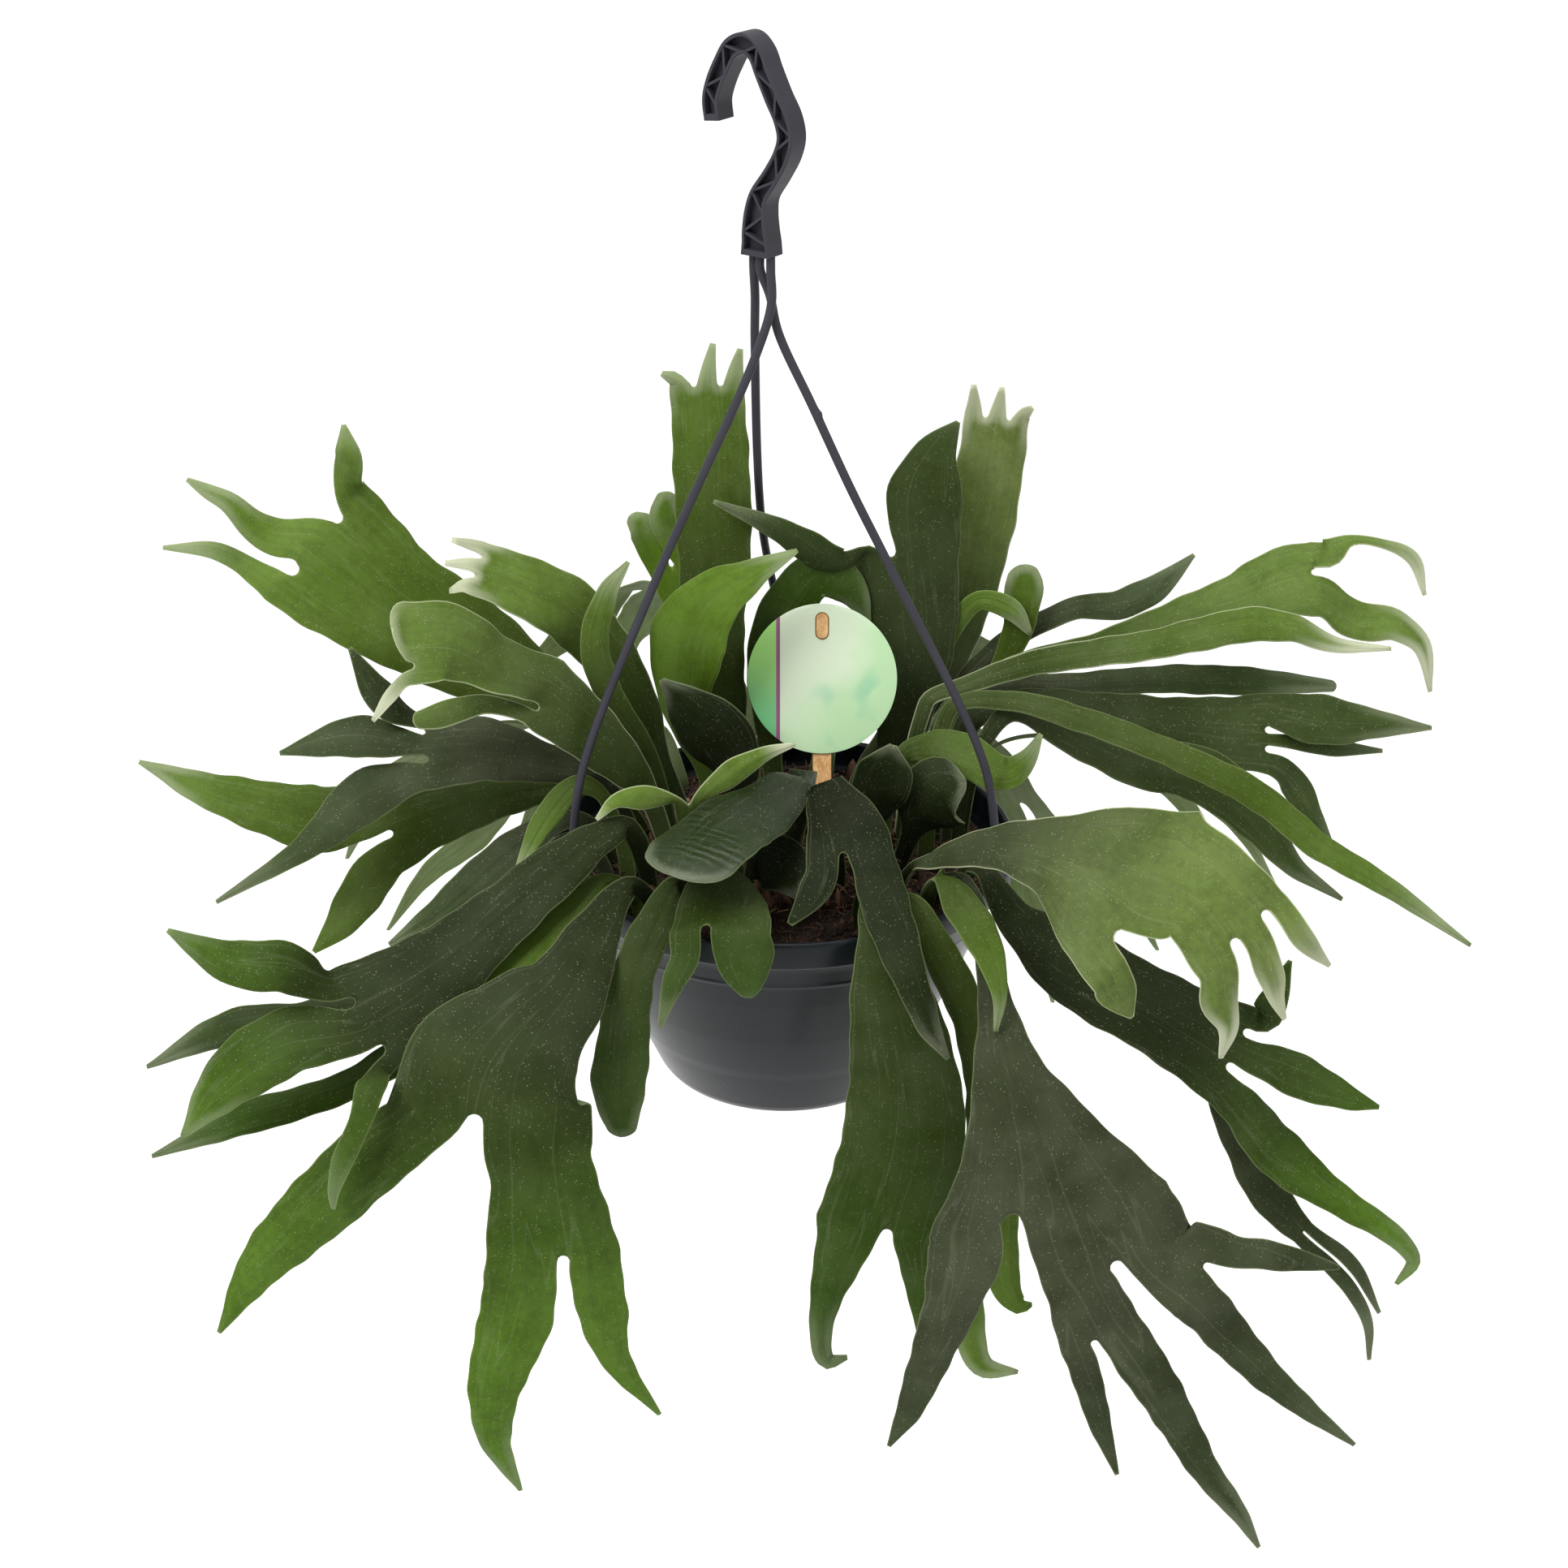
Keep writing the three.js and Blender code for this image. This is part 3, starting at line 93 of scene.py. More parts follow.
def unit(vectors: np.ndarray) -> np.ndarray:
    """Each vector divided by its own length."""
    return vectors / np.maximum(np.linalg.norm(vectors, axis=-1, keepdims=True), 1e-9)


def ring_table(first: int, rings: int, columns: int) -> np.ndarray:
    """Point numbers of closed rings, one ring a row, with the first column repeated at the end.

    Args:
        first: the number of the first ring's first point.
        rings, columns: how many rings there are, and how many points each has.

    Returns:
        A table of point numbers.
    """
    table = np.arange(rings * columns).reshape(rings, columns) + first
    return np.concatenate([table, table[:, :1]], axis=1)


def cells(table: np.ndarray) -> np.ndarray:
    """The four corners of every cell of a table of point numbers, one cell a row."""
    return np.stack([table[:-1, :-1], table[:-1, 1:], table[1:, 1:], table[1:, :-1]], axis=-1).reshape(-1, 4)


def rounded(outline: np.ndarray, reach: float) -> np.ndarray:
    """Rounds the corners of a closed outline.

    Each corner becomes a short quadratic curve that starts and ends at the given reach from it, or at a
    third of the side where the side is short.

    Args:
        outline: corner points, one a row.
        reach: how far from the corner the curve starts, in millimetres.

    Returns:
        The rounded outline, with CORNER_STEPS points for each corner.
    """
    before = np.roll(outline, 1, axis=0) - outline
    after = np.roll(outline, -1, axis=0) - outline
    before_length = np.linalg.norm(before, axis=1, keepdims=True)
    after_length = np.linalg.norm(after, axis=1, keepdims=True)
    start = outline + before / before_length * np.minimum(reach, before_length / 3)
    end = outline + after / after_length * np.minimum(reach, after_length / 3)
    t = np.linspace(0, 1, CORNER_STEPS)[None, :, None]
    curve = (1 - t) ** 2 * start[:, None] + 2 * t * (1 - t) * outline[:, None] + t ** 2 * end[:, None]
    return curve.reshape(-1, outline.shape[1])


def smooth_line(points: np.ndarray, shares: np.ndarray) -> np.ndarray:
    """A line through points as centripetal Catmull-Rom cubics.

    Between two points the slope at each comes from the chords on either side, weighed by the square roots
    of their lengths, and the ends continue their own chords.

    Args:
        points: the points, one a row.
        shares: places along the line, from 0 to 1, with the same share for every stretch between points.

    Returns:
        The place of each share, one a row.
    """
    ends = np.concatenate([[2 * points[0] - points[1]], points, [2 * points[-1] - points[-2]]])
    place = np.clip(shares, 0, 1) * (len(points) - 1)
    index = np.minimum(place.astype(int), len(points) - 2)
    t = (place - index)[:, None]
    p0, p1, p2, p3 = (ends[index + k] for k in range(4))
    first, middle, last = (np.sqrt(np.linalg.norm(b - a, axis=1, keepdims=True))
                           for a, b in ((p0, p1), (p1, p2), (p2, p3)))
    slope1 = ((p1 - p0) / first - (p2 - p0) / (first + middle) + (p2 - p1) / middle) * middle
    slope2 = ((p2 - p1) / middle - (p3 - p1) / (middle + last) + (p3 - p2) / last) * middle
    return (p1 + slope1 * t + (3 * (p2 - p1) - 2 * slope1 - slope2) * t ** 2
            + (2 * (p1 - p2) + slope1 + slope2) * t ** 3)


@dataclass
class Form:
    """Points, faces and per-point values of a piece, gathered as whole arrays in millimetres."""

    points: list[np.ndarray] = field(default_factory=list)
    faces: list[np.ndarray] = field(default_factory=list)
    flow: list[np.ndarray] = field(default_factory=list)
    values: dict[str, list[np.ndarray]] = field(default_factory=dict)
    count: int = 0

    def add(self, points: np.ndarray, flow: np.ndarray | None = None, **values: np.ndarray) -> int:
        """Adds points.

        Args:
            points: one point a row.
            flow: where each point lies along and across the piece, for patterns that follow it.
            values: named numbers, one a point.

        Returns:
            The number of the first point added.
        """
        first = self.count
        self.points.append(points.reshape(-1, 3))
        added = len(self.points[-1])
        self.flow.append(np.zeros((added, 2)) if flow is None else flow.reshape(-1, 2))
        for name, numbers in values.items():
            self.values.setdefault(name, []).append(np.broadcast_to(numbers, added).astype(float))
        self.count += added
        return first

    def sheet(self, rings: np.ndarray) -> np.ndarray:
        """Adds closed rings of points and the cells between them; returns the table of their numbers.

        A cell faces the side from which its rings run up and its columns run from left to right.
        """
        table = ring_table(self.add(rings), *rings.shape[:2])
        self.faces.append(cells(table))
        return table

    def sweep(self, rings: np.ndarray) -> None:
        """Adds a tube with each end closed by a fan; its rings run anticlockwise seen from its far end."""
        table = self.sheet(rings)
        for ring, turn in ((0, True), (-1, False)):
            middle = self.add(rings[ring].mean(axis=0)[None])
            a, b = table[ring, :-1], table[ring, 1:]
            a, b = (b, a) if turn else (a, b)
            self.faces.append(np.stack([a, b, np.full_like(a, middle)], axis=-1))

    def prism(self, rings: np.ndarray) -> None:
        """Adds a tube with each end closed by one flat face; its rings run as for sweep."""
        table = self.sheet(rings)
        self.faces.append(table[:1, -2::-1])
        self.faces.append(table[-1:, :-1])

    def make(self, name: str, material: bpy.types.Material, sharp: float | None = None) -> bpy.types.Object:
        """Makes a Blender object of the form, in metres.

        Args:
            name: the object's name.
            material: its finish.
            sharp: the angle in degrees above which an edge stays sharp, or None for smooth all over.

        Returns:
            The object.
        """
        points = np.concatenate(self.points) * MM
        sizes = np.concatenate([np.full(len(face), face.shape[1]) for face in self.faces])
        corners = np.concatenate([face.ravel() for face in self.faces])
        starts = np.concatenate([[0], np.cumsum(sizes)[:-1]])
        mesh = bpy.data.meshes.new(name)
        mesh.vertices.add(len(points))
        mesh.vertices.foreach_set("co", points.astype(np.float32).ravel())
        mesh.loops.add(len(corners))
        mesh.loops.foreach_set("vertex_index", corners.astype(np.int32))
        mesh.polygons.add(len(sizes))
        mesh.polygons.foreach_set("loop_start", starts.astype(np.int32))
        mesh.update(calc_edges=True)
        mesh.validate()
        layer = mesh.uv_layers.new(name="flow")
        index = np.zeros(len(mesh.loops), np.int32)
        mesh.loops.foreach_get("vertex_index", index)
        layer.data.foreach_set("uv", np.concatenate(self.flow)[index].astype(np.float32).ravel())
        for key, numbers in self.values.items():
            attribute = mesh.attributes.new(key, "FLOAT", "POINT")
            attribute.data.foreach_set("value", np.concatenate(numbers).astype(np.float32))
        mesh.shade_smooth()
        if sharp is not None:
            mesh.set_sharp_from_angle(angle=math.radians(sharp))
        mesh.materials.append(material)
        made = bpy.data.objects.new(name, mesh)
        bpy.context.scene.collection.objects.link(made)
        return made

    def piece(self, name: str, material: bpy.types.Material, slot: str, nodes: tuple[str, ...] = (),
              sharp: float | None = None) -> bpy.types.Object:
        """Makes the form's object a piece of the part, riding on the body.

        Args:
            name, material, sharp: as for make.
            slot: not used.
            nodes: the CAD nodes that it replaces.

        Returns:
            The piece.
        """
        made = self.make(name, material, sharp)
        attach(made, "root")
        if nodes:
            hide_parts(*nodes)
        log.info("%s: %d points, %d faces", made.name, len(made.data.vertices), len(made.data.polygons))
        return made


class Signal:
    """A value that varies over a surface: a node's socket with Python's arithmetic."""

    def __init__(self, paint: "Paint", socket: bpy.types.NodeSocket) -> None:
        """Keeps the socket and the material that it belongs to."""
        self.paint = paint
        self.socket = socket

    def _math(self, operation: str, *terms: "Signal | float") -> "Signal":
        """A Math node on the terms, in their order."""
        return self.paint.node("ShaderNodeMath", {"operation": operation}, dict(enumerate(terms)))

    def __add__(self, other: "Signal | float") -> "Signal":
        """The sum."""
        return self._math("ADD", self, other)

    __radd__ = __add__

    def __sub__(self, other: "Signal | float") -> "Signal":
        """The difference."""
        return self._math("SUBTRACT", self, other)

    def __rsub__(self, other: float) -> "Signal":
        """The difference, the other way round."""
        return self._math("SUBTRACT", other, self)

    def __mul__(self, other: "Signal | float") -> "Signal":
        """The product."""
        return self._math("MULTIPLY", self, other)

    __rmul__ = __mul__

    def sine(self) -> "Signal":
        """The sine of the value."""
        return self._math("SINE", self)

    def least(self, other: "Signal | float") -> "Signal":
        """The smaller of the two."""
        return self._math("MINIMUM", self, other)

    def size(self) -> "Signal":
        """The value without its sign."""
        return self._math("ABSOLUTE", self)

    def step(self, low: float, high: float) -> "Signal":
        """0 below low and 1 above high, eased between them; high below low turns it round."""
        return self.paint.node("ShaderNodeMapRange", {"interpolation_type": "SMOOTHSTEP"},
                               {"Value": self, "From Min": low, "From Max": high})


class Paint:
    """One material and the nodes that make it."""

    def __init__(self, name: str, **constants: float | Colour) -> None:
        """Makes the material with its main shader.

        Args:
            name: the material's name.
            constants: what is the same all over, by the shader socket's name with _ for a space.
        """
        self.material = bpy.data.materials.new(name)
        self.material.use_nodes = True
        self.tree = self.material.node_tree
        self.tree.nodes.clear()
        self.shader = self.tree.nodes.new("ShaderNodeBsdfPrincipled")
        output = self.tree.nodes.new("ShaderNodeOutputMaterial")
        self.tree.links.new(self.shader.outputs[0], output.inputs[0])
        for socket, value in constants.items():
            self.shader.inputs[socket.replace("_", " ")].default_value = value

    def node(self, kind: str, settings: dict, values: dict, output: int | str = 0) -> Signal:
        """Adds a node.

        Args:
            kind: the node's type.
            settings: its properties, set first.
            values: numbers, colours or signals by the name or number of the socket.
            output: which output is returned.

        Returns:
            That output.
        """
        made = self.tree.nodes.new(kind)
        for key, value in settings.items():
            setattr(made, key, value)
        for key, value in values.items():
            if isinstance(value, Signal):
                self.tree.links.new(value.socket, made.inputs[key])
            else:
                made.inputs[key].default_value = value
        return Signal(self, made.outputs[output])

    def place(self, scale: tuple[float, float, float] = (1, 1, 1)) -> Signal:
        """Where the surface is in the object, in metres, times a scale for each axis."""
        where = self.node("ShaderNodeTexCoord", {}, {}, "Object")
        return self.stretch(where, scale)

    def flow(self, scale: tuple[float, float, float] = (1, 1, 1)) -> Signal:
        """Where the surface is along and across the piece, times a scale for each."""
        where = self.node("ShaderNodeUVMap", {"uv_map": "flow"}, {})
        return self.stretch(where, scale)

    def stretch(self, where: Signal, scale: tuple[float, float, float]) -> Signal:
        """A position times a scale for each axis."""
        return self.node("ShaderNodeVectorMath", {"operation": "MULTIPLY"}, {0: where, 1: scale})

    def part(self, where: Signal, axis: int) -> Signal:
        """One coordinate of a position."""
        return self.node("ShaderNodeSeparateXYZ", {}, {0: where}, axis)

    def value(self, name: str) -> Signal:
        """A named number that the piece carries at each point."""
        return self.node("ShaderNodeAttribute", {"attribute_name": name}, {}, "Fac")

    def noise(self, where: Signal, scale: float, detail: float = 3, roughness: float = 0.5,
              distortion: float = 0) -> Signal:
        """Cloudy noise from 0 to 1."""
        return self.node("ShaderNodeTexNoise", {}, {"Vector": where, "Scale": scale, "Detail": detail,
                                                    "Roughness": roughness, "Distortion": distortion})

    def dots(self, where: Signal, scale: float) -> Signal:
        """The distance from the nearest of many scattered points, in cells."""
        return self.node("ShaderNodeTexVoronoi", {}, {"Vector": where, "Scale": scale})

    def blend(self, share: Signal | float, low: Signal | Colour, high: Signal | Colour) -> Signal:
        """A colour between two, by a share."""
        return self.node("ShaderNodeMix", {"data_type": "RGBA"}, {0: share, 6: low, 7: high}, 2)

    def bump(self, height: Signal, depth: float, below: Signal | None = None) -> Signal:
        """A surface raised by height times depth, in metres, over another one if it is given."""
        values = {"Height": height, "Distance": depth}
        if below is not None:
            values["Normal"] = below
        return self.node("ShaderNodeBump", {}, values)

    def finish(self, **signals: Signal) -> bpy.types.Material:
        """Links what varies to the shader, by socket name with _ for a space; returns the material."""
        for socket, signal in signals.items():
            self.tree.links.new(signal.socket, self.shader.inputs[socket.replace("_", " ")])
        return self.material


@dataclass(frozen=True)
class Plastic:
    """Dark moulded plastic with a satin skin, faint flow marks, and dust with a painted reflection towards
    the foot.
    """

    body: Colour
    dusty: Colour
    roughness: float
    dust_foot: float = 0.0
    dust_top: float = 0.0

    def material(self, name: str) -> bpy.types.Material:
        """The finish: where a top height is given it greys towards the foot, partly dust and partly a painted
        reflection of the pale floor; with fine pitting.
        """
        paint = Paint(name, Specular_IOR_Level=0.16)
        where = paint.place()
        clouds = paint.noise(where, 38, 4, 0.55)
        grain = paint.noise(where, 2600, 2, 0.6)
        scuffs = paint.noise(paint.place((160, 160, 900)), 1, 3, 0.6)
        share = clouds * 0.22
        # Greyer towards the foot: partly dust, partly a painted reflection of the pale floor below.
        if self.dust_top > self.dust_foot:
            height = paint.part(where, 2)
            share = share + (1 - height.step(self.dust_foot * MM, self.dust_top * MM)) * 0.65
        specks = paint.dots(where, 900).step(0.13, 0.08) * paint.noise(where, 120, 2).step(0.55, 0.7)
        colour = paint.blend((share + specks * 0.4).least(1.0), self.body, self.dusty)
        roughness = clouds * 0.12 + scuffs.step(0.55, 0.8) * 0.08 + self.roughness
        bump = paint.bump(grain * 0.6 + scuffs * 0.4, 0.00004)
        return paint.finish(Base_Color=colour, Roughness=roughness, Normal=bump)


@dataclass(frozen=True)
class Card:
    """Coated card with generic print: a green band, a thin stripe and a pale ground that shades to green."""

    ground: Colour = srgb(186, 199, 173)
    wash: Colour = srgb(152, 190, 140)
    deep_wash: Colour = srgb(98, 166, 138)
    band: Colour = srgb(130, 182, 92)
    band_foot: Colour = srgb(92, 164, 106)
    stripe: Colour = srgb(122, 58, 102)
    band_right: float = -17.5
    stripe_width: float = 1.5
    fibres: Colour = srgb(200, 205, 190)
    edge: float = 0.06

    def material(self, name: str) -> bpy.types.Material:
        """The finish, drawn from where a point is across and up the disc, from its middle."""
        paint = Paint(name, Specular_IOR_Level=0.5)
        flow = paint.flow((1 / MM, 1 / MM, 1))
        across, up = paint.part(flow, 0), paint.part(flow, 1)
        soft = paint.noise(flow, 0.045, 2, 0.4)
        right_low = (across * 0.6 - up * 0.8 + soft * 26).step(4, 38)
        right = (across + soft * 20).step(14, 36)
        ground = paint.blend((right_low + right * 0.7).least(1.0) * 0.8, self.ground, self.wash)
        pools = paint.noise(flow, 0.085, 1, 0.3).step(0.52, 0.72) * right_low
        ground = paint.blend(pools * 0.55, ground, self.deep_wash)
        band = paint.blend((up * -1 + soft * 10).step(-4, 20), self.band, self.band_foot)
        left, right_side = self.band_right, self.band_right + self.stripe_width
        bands = paint.blend(across.step(left + self.edge, left - self.edge), ground, band)
        stripe = across.step(left - self.edge, left + self.edge)
        stripe = stripe * across.step(right_side + self.edge, right_side - self.edge)
        colour = paint.blend(stripe, bands, self.stripe)
        fibre = paint.noise(flow, 2.2, 3, 0.6)
        colour = paint.blend(fibre.step(0.35, 0.75) * 0.05, colour, self.fibres)
        roughness = paint.noise(flow, 0.2, 2) * 0.12 + 0.3
        return paint.finish(Base_Color=colour, Roughness=roughness, Normal=paint.bump(fibre, 0.00002))


@dataclass(frozen=True)
class Wood:
    """Planed light wood with a fine straight grain."""

    pale: Colour = srgb(214, 176, 122)
    dark: Colour = srgb(168, 120, 70)
    end: Colour = srgb(118, 82, 52)

    def material(self, name: str) -> bpy.types.Material:
        """The finish: grain along the stick, pores, and a damp dark foot."""
        paint = Paint(name, Specular_IOR_Level=0.35)
        where = paint.place()
        grain = paint.noise(paint.place((1, 1, 0.05)), 1500, 4, 0.6)
        broad = paint.noise(paint.place((1, 1, 0.08)), 260, 3, 0.5, 0.4)
        pores = paint.noise(paint.place((1, 1, 0.03)), 3200, 2, 0.5).step(0.6, 0.75)
        colour = paint.blend((grain * 0.5 + broad * 0.6).step(0.35, 0.75), self.pale, self.dark)
        colour = paint.blend(pores * 0.5, colour, self.end)
        damp = paint.part(where, 2).step(0.112, 0.088)
        colour = paint.blend(damp * 0.7, colour, self.end)
        return paint.finish(Base_Color=colour, Roughness=grain * 0.2 + 0.55,
                            Normal=paint.bump(grain + pores, 0.00012))


@dataclass(frozen=True)
class Peat:
    """Damp brown peat and coir."""

    dark: Colour = srgb(22, 15, 11)
    warm: Colour = srgb(54, 36, 25)
    pale: Colour = srgb(104, 78, 54)

    def material(self, name: str) -> bpy.types.Material:
        """The finish: three browns in crumbs and threads, rough all over."""
        paint = Paint(name, Specular_IOR_Level=0.25)
        where = paint.place()
        crumbs = paint.dots(where, 700)
        clouds = paint.noise(where, 140, 4, 0.65)
        threads = paint.noise(paint.place((1, 0.12, 1)), 1300, 3, 0.6)
        colour = paint.blend(clouds.step(0.35, 0.7), self.dark, self.warm)
        colour = paint.blend(threads.step(0.58, 0.75) * 0.6, colour, self.pale)
        height = crumbs * 0.5 + clouds * 0.6 + threads * 0.3
        return paint.finish(Base_Color=colour, Roughness=clouds * 0.15 + 0.8,
                            Normal=paint.bump(height, 0.0012))


@dataclass(frozen=True)
class Husk:
    """Loose fibres, crumbs and papery scales, each with its own brown."""

    dark: Colour = srgb(36, 24, 17)
    warm: Colour = srgb(80, 54, 36)
    pale: Colour = srgb(140, 108, 76)

    def material(self, name: str) -> bpy.types.Material:
        """The finish: each bit's shade number picks its brown, with fine streaks."""
        paint = Paint(name, Specular_IOR_Level=0.3)
        shade = paint.value("shade")
        streaks = paint.noise(paint.place(), 900, 3, 0.6)
        colour = paint.blend((shade * 1.3 + streaks * 0.3 - 0.2).step(0, 0.75), self.dark, self.warm)
        colour = paint.blend((shade + streaks * 0.2).step(0.85, 1.15), colour, self.pale)
        return paint.finish(Base_Color=colour, Roughness=streaks * 0.2 + 0.65,
                            Normal=paint.bump(streaks, 0.0001))


@dataclass(frozen=True)
class Leaf:
    """A frond's skin: green that freshens towards the tips, felt, veins, a pale margin and underside."""

    deep: Colour
    fresh: Colour
    felt: Colour = srgb(158, 164, 138)
    rim: Colour = srgb(150, 164, 112)
    under: Colour = srgb(96, 112, 72)
    freshens: tuple[float, float] = (0.25, 1.05)
    bloom: float = 0.05
    tip_felt: float = 0.2
    margin: float = 0.3
    specks: float = 0.5
    gloss: float = 0.06
    roughness: float = 0.5
    pleats: float = 0.0

    def material(self, name: str) -> bpy.types.Material:
        """The finish.

        The green goes from deep to fresh by reach, which is 0 at the foot and 1 at the tips, with soft
        clouds. A thin grey bloom lies over it in broad patches, felt whitens the tips and the margin,
        scattered scales stand out as pale specks, and faint fibres run with the flow, where x is across the
        blade and y along it.
        """
        paint = Paint(name, Specular_IOR_Level=self.gloss)
        where, flow = paint.place(), paint.flow()
        reach, rim, upper, tint = (paint.value(key) for key in ("reach", "rim", "upper", "tint"))
        broad = paint.noise(where, 17, 2, 0.45)
        cloud = paint.noise(where, 60, 3, 0.5)
        fibres = paint.noise(paint.stretch(flow, (1, 0.06, 1)), 700, 3, 0.6)
        veins = paint.noise(paint.stretch(flow, (1, 0.04, 1)), 150, 2, 0.5, 0.1)
        ridges = (veins - 0.5).size().step(0.012, 0.0)
        share = (reach + (broad - 0.5) * 0.22 + (tint - 0.5) * 0.3).step(*self.freshens)
        green = paint.blend(share, self.deep, self.fresh)
        shade = tuple(c * 0.6 for c in self.deep[:3]) + (1.0,)
        mottle = paint.noise(where, 310, 3, 0.6)
        green = paint.blend((cloud * 0.4 + mottle * 0.6).step(0.58, 0.36) * 0.24, green, shade)
        green = paint.blend((fibres * 0.6 + veins * 0.5).step(0.62, 0.4) * 0.18, green, shade)
        green = paint.blend(ridges * 0.05, green, self.felt)
        bloom = (broad * 0.5 + cloud * 0.5).step(0.35, 0.7) * self.bloom
        green = paint.blend(bloom, green, self.felt)
        scales = paint.dots(where, 900).step(0.24, 0.08) * paint.noise(where, 420, 2).step(0.42, 0.6)
        fine = paint.noise(where, 1500, 2, 0.75).step(0.62, 0.74)
        green = paint.blend((scales * 0.85 + fine * 0.14) * self.specks, green, self.felt)
        tips = reach.step(0.82, 0.96) * rim.step(4.5, 1.2) * self.tip_felt
        green = paint.blend((tips * (cloud * 0.4 + 0.8)).least(0.95), green, self.felt)
        edge = rim.step(0.65, 0.1) * self.margin
        green = paint.blend(edge * (fine * 0.4 + 0.7), green, self.rim)
        below = paint.blend((fibres * 0.6 + cloud * 0.4).step(0.3, 0.7) * 0.5, self.under, self.felt)
        below = paint.blend(0.6, below, green)
        colour = paint.blend(upper, below, green)
        roughness = cloud * 0.12 + fine * 0.1 + self.roughness
        height = veins * 0.8 + fibres * 0.12 + ridges * 0.2
        folds = paint.noise(paint.stretch(flow, (1, 0.12, 1)), 48, 2, 0.4)
        normal = paint.bump(height, 0.00022, paint.bump(folds, 0.002))
        if self.pleats:
            along = paint.part(flow, 1) * (1 / MM)
            waves = (along * 1.5 + paint.noise(where, 75, 3) * 9).sine()
            band = reach.step(0.5, 0.7) * reach.step(0.98, 0.85) * paint.noise(where, 40, 2).step(0.45, 0.6)
            normal = paint.bump(waves * band, self.pleats * MM, normal)
        normal = paint.bump(fine + scales, 0.00005, normal)
        return paint.finish(Base_Color=colour, Roughness=roughness, Normal=normal)


WHITE_RIM = srgb(180, 186, 150)
WHITE_FELT = srgb(170, 174, 148)


class Tone(Enum):
    """How a frond looks, by its age and its felt; the darkest tone is painted shade for the fronds that lie
    in the shade of others.
    """

    # Painted shade: greens darker than the fronds' own, for fronds that lie in the shade of others.
    SHADE = Leaf(srgb(17, 22, 8), srgb(26, 36, 10), specks=0.4, bloom=0.02)
    DEEP = Leaf(srgb(36, 49, 10), srgb(48, 72, 12), specks=0.4)
    DUSKY = Leaf(srgb(38, 46, 22), srgb(49, 65, 24), freshens=(0.3, 1.2), bloom=0.03)
    GREY = Leaf(srgb(43, 49, 29), srgb(44, 62, 21), bloom=0.07, freshens=(0.4, 1.15))
    MID = Leaf(srgb(48, 62, 18), srgb(80, 105, 29), tip_felt=0.4)
    FRESH = Leaf(srgb(50, 68, 14), srgb(80, 108, 24), tip_felt=0.4, specks=0.25, freshens=(0.05, 0.9))
    TIPPED = Leaf(srgb(31, 39, 16), srgb(72, 102, 20), bloom=0.03, freshens=(0.42, 1.0))
    CLAWED = Leaf(srgb(44, 52, 28), srgb(86, 104, 46), tip_felt=0.9, margin=0.9, freshens=(0.42, 0.85),
                  rim=WHITE_RIM, felt=WHITE_FELT)
    EDGED = Leaf(srgb(46, 60, 20), srgb(84, 107, 37), tip_felt=0.9, margin=0.75, freshens=(0.2, 0.95),
                 rim=WHITE_RIM, felt=WHITE_FELT)
    PALE = Leaf(srgb(60, 72, 38), srgb(90, 106, 50), bloom=0.09, tip_felt=0.6, margin=0.75,
                freshens=(0.15, 0.8), rim=srgb(190, 194, 164), felt=srgb(172, 176, 150))
    GLOSSY = Leaf(srgb(20, 29, 10), srgb(30, 45, 12), bloom=0.01, gloss=0.3, roughness=0.3, pleats=0.25)


Station = tuple[float, float, float, float]
TO_VIEWER = (0, -0.75, 0.66)
UPRIGHT = (0, -0.95, 0.3)
HANGING = (0, -0.9, 0.42)
TO_BACK = (0, 0.8, 0.6)


@dataclass
class Lobe:
    """A stretch of blade through stations (across, deep, up, half width), and the lobes it forks into."""

    run: list[Station]
    lobes: list["Lobe"] = field(default_factory=list)


@dataclass
class Frond:
    """A frond: how it looks, where it stands in the soil, which way its face turns, and its blade."""

    tone: Tone
    foot: tuple[float, float]
    face: tuple[float, float, float]
    run: list[Station]
    lobes: list[Lobe] = field(default_factory=list)
    tip_face: tuple[float, float, float] | None = None


